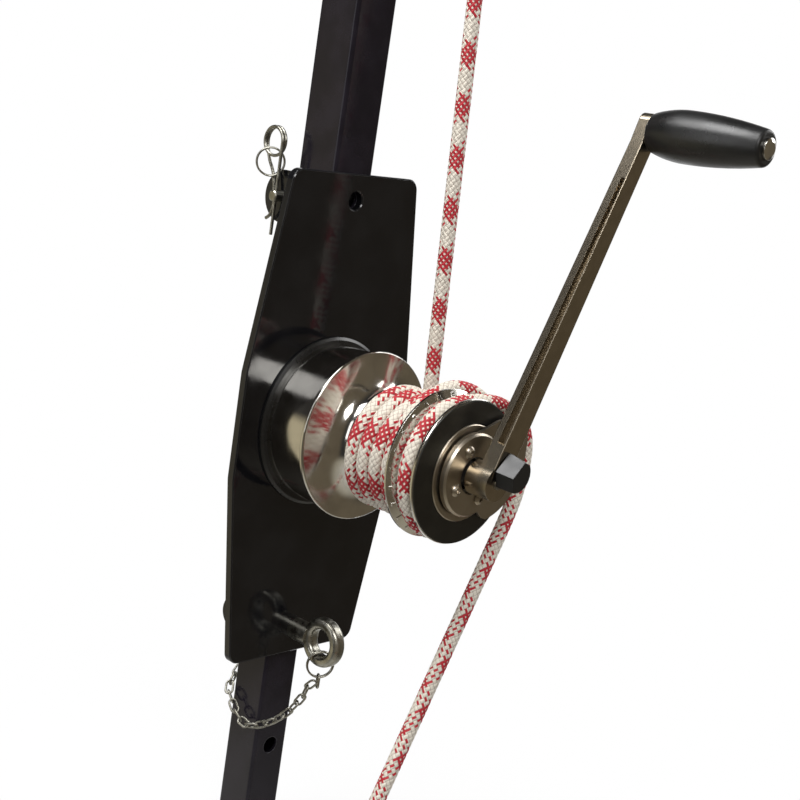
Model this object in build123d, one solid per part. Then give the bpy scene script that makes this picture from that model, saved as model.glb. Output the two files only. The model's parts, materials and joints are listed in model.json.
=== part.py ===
from build123d import *
import os
from math import acos, atan2, ceil, cos, degrees, pi, radians, sin, sqrt, tan

# A hand winch pinned to a telescoping quadpod leg, in millimetres. The origin lies on the leg's centre line
# at the height of the winch axis, +Z runs up the leg and the winch faces -Y. Winch heights are measured
# outward from the plate's front face. Clock angles run clockwise from the top, as seen from the front.

# Fits between pieces
running_gap = 0.05
press_gap = 0.02
turning_gap = 0.3
screw_gap = 0.25

# Telescoping leg
inner_leg_side = 32.0
inner_leg_wall = 2.5
inner_leg_corner = 2.5
leg_slide_gap = 0.25
outer_leg_wall = 2.75
outer_leg_corner = 3.0
leg_top = 312.0
outer_leg_bottom = -177.0
inner_leg_top = -40.0
leg_bottom = -332.0
leg_hole_pitch = 100.0
leg_hole_margin = 13.0
outer_leg_side = inner_leg_side + 2 * (leg_slide_gap + outer_leg_wall)

# Mounting plate
plate_thickness = 6.0
plate_height = 361.0
plate_end_width = 122.6
plate_mid_width = 162.4
plate_mid_height = 76.4
plate_corner = 9.0
plate_shoulder = 24.0
plate_edge = 0.8
pin_spacing = 323.0
plate_back = -outer_leg_side / 2
plate_front = plate_back - plate_thickness

# Ears and lugs welded behind the plate
ear_thickness = 5.0
ear_gap = 0.5
upper_ear_z = 156.0
upper_ear_radius = 19.0
upper_ear_reach = 63.0
lug_radius = 12.5
lug_reach = 50.0
ear_inside = outer_leg_side / 2 + ear_gap
ear_outside = ear_inside + ear_thickness

# Hitch pin, spring clip and its split ring
hitch_diameter = 8.0
hitch_gap = 0.3
hitch_overhang = 12.0
hitch_head = 14.0
hitch_head_thickness = 5.0
hitch_head_edge = 1.0
hitch_point = 0.8
clip_wire = 2.4
clip_setback = 3.6
clip_tail = 28.0
clip_rise = 38.0
clip_coil_radius = 10.2
clip_coil_pitch = 2.85
clip_hole_gap = 0.2
clip_ring_turn = 35.0
clip_ring_side = 3.5
clip_ring_back = 3.0
clip_ring_drop = 5.0
ring_outer = 21.5
ring_wire = 1.5
ring_turn_share = 0.46
# The clip's wavy leg below its coil, as distance behind the pin's axis and height above it
clip_wave = [(17.4, 27.0), (10.0, 14.0), (7.2, 3.0), (5.9, -8.0), (8.4, -14.5), (12.2, -17.5)]
hitch_y = outer_leg_side / 2 + hitch_gap + hitch_diameter / 2
hitch_end = ear_outside + hitch_overhang
clip_x = -(hitch_end - clip_setback)

# Eye bolt, its split ring and the tether chain
eye_shank = 12.0
eye_hole_gap = 0.5
eye_reach = 50.0
eye_collar = 16.5
eye_collar_length = 13.5
eye_outer = 37.0
eye_bar = 8.5
eye_width = 11.0
eye_round_share = 0.42
eye_root = 0.6
eye_point = 1.5
link_length = 12.0
link_width = 7.2
link_wire = 1.7
link_slack = 0.35
chain_screw_shank = 3.0
chain_screw_head = 7.0
chain_screw_head_height = 1.5
chain_screw_length = 8.6
chain_screw_x = 11.0
chain_screw_rise = 1.5
eye_ring_lift = 1.7
eye_ring_turn = 30.0
# The chain's hanging line: down from the eye's ring, round the leg's corner and up behind it to its screw.
# Its heights count from the eye bolt's axis.
chain_route = [
    (-1.0, -51.0, -35.5),
    (-4.1, -44.4, -50.3),
    (-9.5, -34.8, -65.3),
    (-17.0, -21.5, -76.5),
    (-21.8, -10.2, -80.3),
    (-22.0, 0.4, -77.5),
    (-22.0, 8.5, -70.0),
    (-19.4, 17.2, -62.0),
    (-12.0, 21.2, -54.5),
    (-3.0, 22.4, -44.5),
    (4.5, 23.0, -32.5),
    (9.5, 23.3, -18.5),
]
eye_z = -pin_spacing / 2
chain_screw_z = eye_z + chain_screw_rise
leg_hole = eye_shank + 2 * eye_hole_gap

# Foot ring, pedestal and base
foot_radius = 63.0
foot_height = 3.0
foot_edge = 2.1
foot_edge_height = 1.35
pedestal_radius = 58.0
pedestal_height = 33.0
pedestal_wall = 3.5
pedestal_flange = 5.0
pedestal_foot_width = 14.0
pedestal_foot_height = 6.0
base_flange = 4.0
cup_depth = 7.5
cup_floor = 4.5
cup_wall = 3.0
cup_gap = 2.0
hub_radius = 14.0
hub_length = 3.5
plate_bolt_count = 4
plate_bolt_circle = 51.0
plate_bolt_shank = 8.0
plate_bolt_head = 13.0
plate_bolt_head_height = 5.3
base_screw_count = 6
base_screw_circle = 50.2
base_screw_shank = 4.0
base_screw_head = 8.0
base_screw_length = 8.0

# Gear train: pinion, two idlers and a ring gear, which turn the drum once for three turns of the handle
gear_module = 1.5
gear_pressure = radians(25)
gear_backlash = 0.3
gear_addendum = 0.8
gear_dedendum = 1.1
gear_face = 6.4
gear_floor_gap = 0.9
pinion_teeth = 16
idler_teeth = 12
ring_teeth = 48
ring_gear_rim = 3.35
idler_clock = 250.0
idler_axle = 6.0
idler_axle_head = 9.0
idler_axle_head_height = 0.8
axle_sink = 4.0
window_gap = 0.6

# Stem, spindle and bushes
stem_radius = 22.0
stem_bore = 28.0
stem_foot_radius = 20.0
stem_flange_radius = 28.0
stem_flange = 3.0
stem_shoulder_radius = 31.0
stem_shoulder = 2.5
stem_shoulder_gap = 1.7
stem_screw_circle = 24.2
stem_screw_spread = 62.0
stem_screw_shank = 4.0
stem_screw_head = 6.8
stem_screw_head_height = 2.6
bush_flange_radius = 33.0
bush_flange = 1.2
bush_length = 22.0
upper_bush_length = 14.0
upper_bush_drop = 6.0
spindle_journal = 15.0
spindle_shaft = 20.0
spindle_head = 31.0
spindle_head_length = 35.6
spindle_edge = 0.6
circlip_thickness = 1.2
circlip_width = 3.5
circlip_depth = 1.0
circlip_mouth = 9.0
journal_overhang = 3.0

# Ratchet and its two check pawls
ratchet_teeth = 24
ratchet_height = 9.0
ratchet_rise = 46.0
ratchet_tip = 25.2
ratchet_root = 26.7
pawl_count = 2
pawl_pivot = 19.6
pawl_pin = 2.5
pawl_pin_length = 15.0
pawl_length = 9.5
pawl_thickness = 3.2
pawl_nose = 1.3
pawl_eye = 5.0
pawl_lift = 17.0
pawl_side_gap = 0.4
pocket_depth = 5.8
pocket_back = 3.6
pocket_front = 11.5
pocket_overcut = 2.0
leaf_thickness = 0.4
leaf_foot = 2.0
leaf_bend = 9.2
leaf_contact = 5.6
leaf_skew = 0.5
leaf_margin = 1.0

# Drum, jaws and top ring
skirt_gap = 0.8
skirt_radius = 61.7
skirt_lip = 3.0
skirt_lip_round = 1.4
skirt_land = 2.2
flare_height = 15.0
drum_radius = 33.6
drum_length = 53.0
drum_bore = 55.0
crown_radius = 32.0
jaw_floor_radius = 38.5
lower_rim_radius = 52.0
lower_rim = 2.4
lower_rim_edge = 1.4
lower_rim_edge_height = 1.0
lower_jaw_height = 13.6
lower_cone = 9.7
upper_rim_radius = 50.4
upper_rim = 2.0
upper_rim_edge = 0.5
upper_jaw_height = 11.0
upper_cone_foot = 4.1
jaw_ribs = 24
jaw_rib_width = 2.2
jaw_rib_height = 0.5
jaw_rib_inset = 1.2
top_ring_radius = 49.8
top_ring_bore = 68.0
top_ring_edge = 0.9
top_ring_bevel = 1.0
top_ring_bevel_height = 0.3
top_ring_height = 2.3

# Stem collar, self-tailing arm, cap and cap screws
crown_gap = 0.6
collar_height = 2.5
collar_step = 1.5
collar_step_radius = 25.0
collar_edge = 0.6
cover_radius = 29.0
cover_bore = 26.0
arm_plate = 2.5
cap_edge = 0.7
cap_height = 2.2
cap_flat_radius = 27.6
cap_screw_count = 4
cap_screw_circle = 18.8
cap_screw_clock = -27.0
cap_screw_shank = 5.0
cap_screw_head = 8.6
cap_screw_head_height = 2.5
cap_screw_length = 16.0
cap_screw_socket = 3.0
post_gap = 0.7
post_thickness = 2.4
post_start = 55.0
post_end = 75.0
finger_radius = 40.0
finger_height = 6.0
# Plan of the self-tailing arm's fan, as clock angle and radius
fan_root = 1.5
fan_start_clock = -31.0
fan_end_clock = 157.0
fan_edge = (30, 41.6)
fan_shoulder = (49, 58.0)
fan_crest = (62, 60.0)
fan_nose = (76, 57.0)
fan_flank = (110, 50.5)
fan_heel = (146, 40.5)
fan_heel_inside = (151, 36.5)

# Crank handle
handle_clock = 19.7
handle_length = 254.0
socket_side = 17.5
socket_gap = 0.15
socket_depth = 24.0
lock_room = 6.5
lock_room_radius = 12.6
stud_corner = 11.4
stud_shank = 16.0
stud_shank_length = 12.5
boss_gap = 1.8
boss_radius = 12.0
boss_height = 18.4
arm_width_root = 17.5
arm_width_tip = 13.5
arm_depth_root = 13.0
arm_depth_tip = 10.0
arm_rise = 13.2
arm_tip_reach = 12.5
arm_edge = 0.8
groove_start = 25.0
groove_end = 218.0
groove_height_root = 6.4
groove_height_tip = 3.0
groove_corner = 1.2
groove_depth = 4.4
groove_cover = 1.0
lock_shaft_diameter = 7.0
lock_plate_height = 4.5
lock_angle = 22.5
knob_radius = 12.0
knob_offset = 10.0
knob_height = 12.6
knob_gap = 1.5
knob_edge = 0.8
# Flats on the lock knob, as clock angle and distance from its axis at its foot and at its top
knob_flats = [(-46, 6.9, 3.2), (-105, 9.0, 6.2), (22, 12.4, 9.6)]
grip_length = 84.2
grip_inner_end = 25.6
grip_middle = 34.8
grip_outer_end = 23.5
grip_middle_share = 0.315
grip_edge = 2.6
grip_rod = 10.0
grip_head = 14.0
grip_head_height = 2.0
grip_washer = 20.0
grip_washer_height = 1.2
grip_end_washer_height = 0.8
grip_play = 0.2

# Rope
rope_diameter = 11.0
rope_seat = 0.3
wrap_pitch = 11.5
wrap_quarters = 14
groove_rope_radius = 45.0
groove_rope_rise = 13.4
load_line_length = 322.0
load_line_lean = 0.0555
tail_length = 215.0
tail_lean = 25.2
knot_radius = 15.0
knot_length = 33.0
knot_shoulder = 1.0
knot_tail = 20.0
eye_loop_radius = 16.5
eye_throat_radius = 7.0
eye_throat_length = 26.0
# The rope's way out of the last wrap to the groove, as clock angle, radius and height above the plate
crossing_route = [
    (300, 41.1, 105.5),
    (330, 43.9, 105.8),
    (0, 48.4, 105.6),
    (20, 53.4, 106.2),
    (40, 57.9, 109.3),
    (60, 58.9, 113.6),
    (80, 58.6, 117.8),
    (100, 56.6, 121.6),
    (120, 52.2, 124.2),
    (140, 47.2, 125.2),
]
groove_clocks = (165, 225, 285, 345)
# The rope's way from the groove to the straight tail, in the same terms
leaving_route = [
    (5, 45.4, 125.4),
    (22, 48.5, 126.3),
    (37, 55.0, 128.5),
    (52, 61.5, 131.0),
    (65, 66.5, 132.8),
    (78, 68.3, 133.5),
    (90, 67.8, 133.5),
    (102.7, 68.3, 133.5),
    (117.8, 70.7, 133.5),
]

# Heights of the stacked winch pieces above the plate's front face
pedestal_top = foot_height + pedestal_height
base_top = pedestal_top + base_flange
floor_top = base_top - cup_depth
floor_bottom = floor_top - cup_floor
hub_bottom = floor_bottom - hub_length
gear_bottom = floor_top + gear_floor_gap
gear_top = gear_bottom + gear_face
shoulder_bottom = gear_top + stem_shoulder_gap
shoulder_top = shoulder_bottom + stem_shoulder
web_bottom = shoulder_top + bush_flange + turning_gap
skirt_bottom = base_top + skirt_gap
skirt_top = skirt_bottom + skirt_lip
flare_top = skirt_top + flare_height
jaw_seat = flare_top + drum_length
jaw_joint = jaw_seat + lower_jaw_height
crown_top = jaw_joint + upper_jaw_height
top_ring_top = crown_top + top_ring_height
stem_top = crown_top + crown_gap
collar_top = stem_top + collar_height
arm_bottom = collar_top + collar_step
arm_top = arm_bottom + arm_plate
cap_top = arm_top + cap_height
spindle_top = arm_bottom - turning_gap
head_bottom = spindle_top - spindle_head_length
boss_bottom = cap_top + boss_gap
handle_face = boss_bottom + boss_height
grip_seat = handle_face + arm_rise
ratchet_bottom = shoulder_top + ratchet_rise
ratchet_top = ratchet_bottom + ratchet_height

# Gear radii
pinion_pitch = gear_module * pinion_teeth / 2
idler_pitch = gear_module * idler_teeth / 2
ring_pitch = gear_module * ring_teeth / 2
idler_tip = idler_pitch + gear_addendum * gear_module
ring_root = ring_pitch + gear_dedendum * gear_module
ring_gear_radius = ring_root + ring_gear_rim
cup_radius = ring_gear_radius + cup_gap
wrap_radius = drum_radius + rope_seat + rope_diameter / 2

# The winch stands on the plate's front face, with its height along -Y
winch = Plane(origin=(0, plate_front, 0), x_dir=(1, 0, 0), z_dir=(0, -1, 0))
handle = winch * Rot(0, 0, -handle_clock)


def save(name, *shapes):
    """Write one node as separate solids."""
    solids = [solid for shape in shapes for solid in shape.solids()]
    piece = solids[0] if len(solids) == 1 else Compound(solids)
    export_step(piece, f"parts/{name}.step")


def clock_point(clock, radius, height=0.0):
    """A point of the winch from its clock angle, radius and height."""
    angle = radians(clock)
    return Vector(radius * sin(angle), radius * cos(angle), height)


def turned(*points):
    """A solid turned about the winch axis from (radius, height) points."""
    return revolve(make_face(Plane.XZ * Polyline(*points, close=True)), Axis.Z)


def disc(radius, bottom, top):
    """A round bar on the winch axis between two heights."""
    return Pos(0, 0, bottom) * Cylinder(radius, top - bottom, align=(Align.CENTER, Align.CENTER, Align.MIN))


def tube(outer, inner, bottom, top):
    """A round tube on the winch axis between two heights."""
    return disc(outer, bottom, top) - disc(inner, bottom, top)


def slab(face, bottom, top):
    """A flat outline given thickness between two heights."""
    return extrude(Pos(0, 0, bottom) * face, top - bottom)


def around(solid, clocks, radius):
    """Copies of a solid at clock angles on a circle."""
    return [Pos(clock_point(clock, radius)) * Rot(0, 0, -clock) * solid for clock in clocks]


def even_clocks(count, first):
    """Evenly spaced clock angles."""
    return [first + 360 * k / count for k in range(count)]


def biarc(start, start_way, end, end_way):
    """Two tangent arcs from one point and direction to another."""
    chord = end - start
    ways = start_way + end_way
    spread = 2 * (1 - start_way.dot(end_way))
    along = chord.dot(ways)
    reach = (sqrt(along**2 + spread * chord.dot(chord)) - along) / spread
    middle = (start + end + (start_way - end_way) * reach) * 0.5
    first = TangentArc(start, middle, tangent=start_way)
    second = TangentArc(end, middle, tangent=end_way * -1)
    return [first, second]


def flowing(points, ways):
    """Arcs that flow through points. A direction of None is taken from the neighbouring points."""
    ways = list(ways)
    for k in range(1, len(points) - 1):
        near = points[k] - points[k - 1]
        far = points[k + 1] - points[k]
        if ways[k] is None:
            ways[k] = near * (far.length / near.length) + far * (near.length / far.length)
    ways = [way.normalized() for way in ways]
    edges = []
    for start, start_way, end, end_way in zip(points, ways, points[1:], ways[1:]):
        edges += biarc(start, start_way, end, end_way)
    return edges


def wire_solid(edges, diameter):
    """A round wire swept along joined edges."""
    path = Wire(edges)
    section = Plane(origin=path @ 0, z_dir=path % 0) * Circle(diameter / 2)
    return sweep(section, path=path)


def split_ring(centre, normal):
    """A split ring: two close turns of wire side by side."""
    turn_offset = ring_turn_share * ring_wire
    radius = (ring_outer - ring_wire) / 2
    turns = [Pos(0, 0, side * turn_offset) * Torus(radius, ring_wire / 2) for side in (-1, 1)]
    return Plane(origin=centre, z_dir=normal) * (turns[0] + turns[1])


def square_tube(side, wall, corner, bottom, top):
    """A square leg tube with rounded corners."""
    outer = RectangleRounded(side, side, corner)
    inner = RectangleRounded(side - 2 * wall, side - 2 * wall, max(corner - wall, wall / 4))
    return slab(outer - inner, bottom, top)


def cross_bar(diameter, z, x=0.0):
    """A long bar along Y, used to drill the leg and the plate."""
    return Pos(x, 0, z) * Rot(90, 0, 0) * Cylinder(diameter / 2, 4 * plate_mid_width)


def make_leg():
    """The two telescoping leg tubes with their pin holes."""
    upper = square_tube(outer_leg_side, outer_leg_wall, outer_leg_corner, outer_leg_bottom, leg_top)
    lower = square_tube(inner_leg_side, inner_leg_wall, inner_leg_corner, leg_bottom, inner_leg_top)
    upper -= cross_bar(leg_hole, -eye_z)
    upper -= cross_bar(leg_hole, eye_z)
    hole_z = eye_z
    while hole_z - leg_hole_margin > leg_bottom:
        lower -= cross_bar(leg_hole, hole_z)
        hole_z -= leg_hole_pitch
    thread = Cylinder(chain_screw_shank / 2, 2 * outer_leg_wall)
    upper -= Pos(chain_screw_x, outer_leg_side / 2, chain_screw_z) * Rot(90, 0, 0) * thread
    save("leg_outer_tube", upper)
    save("leg_inner_tube", lower)


def make_plate():
    """The shaped plate, its ears and its lugs."""
    half_end = plate_end_width / 2
    half_mid = plate_mid_width / 2
    half_height = plate_height / 2
    half_land = plate_mid_height / 2
    right = [(half_end, half_height), (half_mid, half_land), (half_mid, -half_land), (half_end, -half_height)]
    left = [(-x, -z) for x, z in right]
    outline = make_face(Polyline(*right, *left, close=True))
    ends = [v for v in outline.vertices() if abs(v.Y) > half_land + 1]
    outline = fillet(ends, plate_corner)
    shoulders = [v for v in outline.vertices() if abs(abs(v.X) - half_mid) < 0.01]
    outline = fillet(shoulders, plate_shoulder)
    plate = winch * slab(outline, -plate_thickness, 0)
    plate -= cross_bar(leg_hole, -eye_z)
    plate -= cross_bar(leg_hole, eye_z)
    bolt_hole = disc(plate_bolt_shank / 2 + screw_gap, -plate_thickness, 0)
    for hole in around(bolt_hole, even_clocks(plate_bolt_count, 45), plate_bolt_circle):
        plate -= winch * hole
    edges = plate.edges().filter_by_position(Axis.Y, plate_front - 0.01, plate_front + 0.01)
    longest = [edge for edge in edges if edge.length > 2 * leg_hole or edge.geom_type == GeomType.LINE]
    save("mounting_plate", chamfer(longest, plate_edge))
    ears = [ear(side, upper_ear_z, upper_ear_radius, upper_ear_reach) for side in (-1, 1)]
    hitch_bar = Cylinder(hitch_diameter / 2 + running_gap, 4 * ear_outside)
    hitch_hole = Pos(0, hitch_y, upper_ear_z) * Rot(0, 90, 0) * hitch_bar
    save("upper_ears", *[one - hitch_hole for one in ears])
    save("lower_lugs", *[ear(side, eye_z, lug_radius, lug_reach) for side in (-1, 1)])


def ear(side, z, radius, reach):
    """One flat ear behind the plate, rounded at its free end."""
    straight = reach - radius
    outline = Pos(straight / 2, 0) * Rectangle(straight, 2 * radius) + Pos(straight, 0) * Circle(radius)
    standing = Plane(origin=(-ear_thickness / 2, plate_back, z), x_dir=(0, 1, 0), z_dir=(1, 0, 0))
    middle = side * (ear_inside + ear_thickness / 2)
    return Pos(middle, 0, 0) * extrude(standing * outline, ear_thickness)


def make_hitch():
    """The hitch pin behind the leg, its spring clip and the clip's ring."""
    across = Plane(origin=(0, hitch_y, upper_ear_z), x_dir=(0, 1, 0), z_dir=(-1, 0, 0))
    radius = hitch_diameter / 2
    head_start = -(ear_outside + hitch_gap)
    pin = disc(radius, head_start, hitch_end)
    pin = chamfer(pin.edges().group_by(Axis.Z)[-1], hitch_point)
    head = disc(hitch_head / 2, head_start - hitch_head_thickness, head_start)
    pin += chamfer(head.edges().group_by(Axis.Z)[0], hitch_head_edge)
    clip_bar = Cylinder(clip_wire / 2 + clip_hole_gap, 2 * hitch_diameter)
    save("hitch_pin", across * (pin - Pos(0, 0, -clip_x) * Rot(90, 0, 0) * clip_bar))

    def place(y, z, x):
        return Vector(x, hitch_y + y, upper_ear_z + z)

    coil = []
    for half_turn in range(4):
        angle = pi - pi * half_turn
        drift = clip_coil_pitch * half_turn / 2
        coil.append(place(clip_coil_radius * (1 + cos(angle)), clip_rise, clip_x + drift))
    up = Vector(0, 0, 1)
    ways = [up, up * -1, up, up * -1]
    edges = [Line(place(0, -clip_tail, clip_x), coil[0])]
    for start, start_way, end, end_way in zip(coil, ways, coil[1:], ways[1:]):
        edges += biarc(start, start_way, end, end_way)
    wave_x = coil[-1].X
    wave_points = [coil[-1], *[place(y, z, wave_x) for y, z in clip_wave]]
    wave_ways = [up * -1] + [None] * (len(clip_wave) - 1) + [Vector(0, 1.0, -0.5)]
    edges += flowing(wave_points, wave_ways)
    save("r_clip", wire_solid(edges, clip_wire))
    ring_way = Vector(cos(radians(clip_ring_turn)), -sin(radians(clip_ring_turn)), 0)
    wire_height = clip_rise - sqrt(clip_coil_radius**2 - clip_ring_back**2)
    wire_x = clip_x + 0.75 * clip_coil_pitch
    hung = place(clip_coil_radius - clip_ring_back, wire_height - clip_ring_drop, wire_x)
    save("clip_ring", split_ring(hung - ring_way * clip_ring_side, ring_way.cross(up)))


def eye_ring_centre():
    """Middle of the split ring that hangs in the eye bolt."""
    eye_y = plate_front - eye_collar_length - eye_outer / 2 + eye_root
    hole_foot = eye_z - (eye_outer / 2 - eye_bar)
    return Vector(0, eye_y, hole_foot + eye_ring_lift - ring_outer / 2 + ring_wire)


def eye_ring_normal():
    """The way that the eye bolt's ring faces."""
    return Vector(-sin(radians(eye_ring_turn)), -cos(radians(eye_ring_turn)), 0)


def make_eye_bolt():
    """The eye bolt that locks the leg, with its ring."""
    centre = eye_ring_centre()
    eye_plane = Plane(origin=(0, centre.Y, eye_z), x_dir=(0, 1, 0), z_dir=(1, 0, 0))
    bar = Pos((eye_outer - eye_bar) / 2, 0) * RectangleRounded(eye_bar, eye_width, eye_bar * eye_round_share)
    eye = revolve(Plane.XZ * bar, Axis.Z)
    shank = disc(eye_shank / 2, -(plate_thickness + eye_reach), 0)
    shank = chamfer(shank.edges().group_by(Axis.Z)[0], eye_point)
    collar = disc(eye_collar / 2, 0, eye_collar_length + eye_bar / 2)
    bolt = eye_plane * eye + Plane(origin=(0, plate_front, eye_z), z_dir=(0, -1, 0)) * (shank + collar)
    save("eye_bolt", bolt)
    save("eye_ring", split_ring(centre, eye_ring_normal()))


def link(centre, along, across):
    """One oval chain link, lying along one direction and open across the other."""
    bend = (link_width - link_wire) / 2
    half = (link_length - link_width) / 2
    sides = []
    for side in (-1, 1):
        sides.append(Pos(0, side * bend, 0) * Rot(0, 90, 0) * Cylinder(link_wire / 2, 2 * half))
        half_space = Pos(side * link_length / 2, 0, 0) * Box(link_length, link_length, link_length)
        sides.append(Pos(side * half, 0, 0) * (Torus(bend, link_wire / 2) & half_space))
    solid = sides[0] + sides[1:]
    return Plane(origin=centre, x_dir=along, z_dir=across) * solid


def make_chain():
    """The tether chain from the eye bolt's ring to a screw in the leg's back."""
    link_bore = link_length / 2 - link_wire
    drop = ring_outer / 2 - ring_wire + link_bore - hitch_gap
    first = eye_ring_centre() - Vector(0, 0, drop)
    stand_off = outer_leg_side / 2 + chain_screw_length / 2
    last_z = chain_screw_z - link_bore + chain_screw_shank / 2 + hitch_gap
    last = Vector(chain_screw_x, stand_off, last_z)
    route = [first, *[Vector(x, y, eye_z + rise) for x, y, rise in chain_route], last]
    ways = [Vector(0, 0, -1)] + [None] * len(chain_route) + [Vector(0, 0, 1)]
    path = Wire(flowing(route, ways))
    pitch = link_length - 2 * link_wire - link_slack
    count = 2 * ceil((path.length / pitch + 1) / 2)
    sides = [eye_ring_normal()]
    for k in range(1, count):
        along = path % (k / (count - 1))
        sides.append((sides[-1] - along * sides[-1].dot(along)).normalized())
    last_way = path % 1
    twist = sides[-1].get_signed_angle(Vector(0, 1, 0), last_way)
    links = []
    for k, side in enumerate(sides):
        share = k / (count - 1)
        along = path % share
        side = side.rotate(Axis((0, 0, 0), along), twist * share)
        across = side if k % 2 else along.cross(side)
        links.append(link(path @ share, along, across))
    save("tether_chain", *links)
    print(f"chain: {count} links, {path.length / (count - 1):.2f} apart, {pitch:.2f} when taut")
    outward = Plane(origin=(chain_screw_x, outer_leg_side / 2, chain_screw_z), z_dir=(0, 1, 0))
    head_bottom = chain_screw_length - chain_screw_head_height
    screw = disc(chain_screw_shank / 2, -outer_leg_wall, chain_screw_length)
    screw += disc(chain_screw_head / 2, head_bottom, chain_screw_length)
    save("chain_screw", outward * screw)


def involute(angle):
    """The involute function of an angle."""
    return tan(angle) - angle


def gear_outline(teeth, foot, tip, phase, inward):
    """A gear's toothed outline, with its teeth pointing out or in."""
    pitch = gear_module * teeth / 2
    base = pitch * cos(gear_pressure)
    tooth = pi / (2 * teeth) - gear_backlash / (4 * pitch)
    steps = 4
    radii = [foot + (tip - foot) * k / steps for k in range(steps + 1)]
    halves = []
    for radius in radii:
        lean = involute(gear_pressure) - involute(acos(min(1.0, base / radius)))
        halves.append(tooth - lean if inward else tooth + lean)
    flank = list(zip(radii, halves))
    points = []
    for k in range(teeth):
        middle = phase + 2 * pi * k / teeth
        points += [(r * cos(middle - half), r * sin(middle - half)) for r, half in flank]
        points += [(r * cos(middle + half), r * sin(middle + half)) for r, half in reversed(flank)]
    return make_face(Polyline(*points, close=True))


def outer_gear(teeth, phase):
    """Face of a gear with outward teeth."""
    pitch = gear_module * teeth / 2
    foot = pitch - gear_dedendum * gear_module
    tip = pitch + gear_addendum * gear_module
    return gear_outline(teeth, foot, tip, phase, False)


def gear_layout():
    """Idler places and the tooth phases that let the train mesh, in radians from +X."""
    near = pinion_pitch + idler_pitch
    far = ring_pitch - idler_pitch
    apart = 2 * idler_pitch
    turn = acos((near**2 + far**2 - apart**2) / (2 * near * far))
    first_way = radians(90 - idler_clock)
    second_way = first_way + turn
    first = Vector(near * cos(first_way), near * sin(first_way), 0)
    second = Vector(far * cos(second_way), far * sin(second_way), 0)
    idler_step = 2 * pi / idler_teeth
    pinion_share = first_way * pinion_teeth / (2 * pi)
    first_phase = first_way + pi - (0.5 - pinion_share) * idler_step
    link_way = radians(Vector(1, 0, 0).get_signed_angle(second - first, Vector(0, 0, 1)))
    link_share = (link_way - first_phase) / idler_step
    second_phase = link_way + pi - (0.5 - link_share) * idler_step
    ring_share = (second_way - second_phase) / idler_step
    ring_phase = second_way - (ring_share - 0.5) * 2 * pi / ring_teeth
    return first, second, first_phase, second_phase, ring_phase


def make_base():
    """Foot ring, pedestal, base with its gear cup, and their fasteners."""
    foot_bore = pedestal_radius - pedestal_foot_width
    bolt_clocks = even_clocks(plate_bolt_count, 45)
    bolt_room = disc(plate_bolt_shank / 2 + screw_gap, 0, foot_height)
    foot = turned(
        (foot_bore, 0),
        (foot_radius, 0),
        (foot_radius, foot_height - foot_edge_height),
        (foot_radius - foot_edge, foot_height),
        (foot_bore, foot_height),
    )
    for hole in around(bolt_room, bolt_clocks, plate_bolt_circle):
        foot -= hole
    save("foot_ring", winch * foot)

    flange_bottom = pedestal_top - pedestal_flange
    cup_outer = cup_radius + cup_wall
    throat = cup_outer + turning_gap
    pedestal_bore = pedestal_radius - pedestal_wall
    foot_top = foot_height + pedestal_foot_height
    pedestal = turned(
        (foot_bore, foot_height),
        (pedestal_radius, foot_height),
        (pedestal_radius, base_top),
        (pedestal_bore, base_top),
        (pedestal_bore, pedestal_top),
        (throat, pedestal_top),
        (throat, flange_bottom),
        (pedestal_bore, flange_bottom),
        (pedestal_bore, foot_top),
        (foot_bore, foot_top),
    )
    for hole in around(disc(plate_bolt_shank / 2, foot_height, foot_top), bolt_clocks, plate_bolt_circle):
        pedestal -= hole
    screw_clocks = even_clocks(base_screw_count, 0)
    screw_hole = disc(base_screw_shank / 2, flange_bottom, base_top)
    for hole in around(screw_hole, screw_clocks, base_screw_circle):
        pedestal -= hole
    save("pedestal", winch * pedestal)

    bolt = disc(plate_bolt_shank / 2, -plate_thickness, foot_top)
    head = RegularPolygon(plate_bolt_head / 2, 6, major_radius=False)
    bolt += slab(head, -plate_thickness - plate_bolt_head_height, -plate_thickness)
    save("plate_bolts", *[winch * one for one in around(bolt, bolt_clocks, plate_bolt_circle)])

    journal = spindle_journal / 2 + running_gap
    base = turned(
        (journal, hub_bottom),
        (hub_radius, hub_bottom),
        (hub_radius, floor_bottom),
        (cup_outer, floor_bottom),
        (cup_outer, pedestal_top),
        (pedestal_bore - press_gap, pedestal_top),
        (pedestal_bore - press_gap, base_top),
        (cup_radius, base_top),
        (cup_radius, floor_top),
        (journal, floor_top),
    )
    first, second, *phases = gear_layout()
    axle_hole = disc(idler_axle / 2, floor_top - axle_sink, base_top)
    base -= Pos(first) * axle_hole
    base -= Pos(second) * axle_hole
    stem_thread = disc(stem_screw_shank / 2, floor_bottom, base_top)
    for hole in around(stem_thread, stem_screw_clocks(), stem_screw_circle):
        base -= hole
    sunk = flat_screw(base_screw_shank, base_screw_head, base_screw_length)
    screws = [Pos(0, 0, base_top) * one for one in around(sunk, screw_clocks, base_screw_circle)]
    for screw in screws:
        base -= screw
    save("winch_base", winch * base)
    save("base_screws", *[winch * screw for screw in screws])


def flat_screw(shank, head, length):
    """A countersunk screw with its flat top at height 0."""
    sink = (head - shank) / 2
    return turned((0, -length), (shank / 2, -length), (shank / 2, -sink), (head / 2, 0), (0, 0))


def stem_screw_clocks():
    """Clock angles of the stem's screws, away from the idlers."""
    first, second, *phases = gear_layout()
    away = (first + second) * -1
    opposite = degrees(atan2(away.X, away.Y))
    return [opposite - stem_screw_spread, opposite, opposite + stem_screw_spread]


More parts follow.
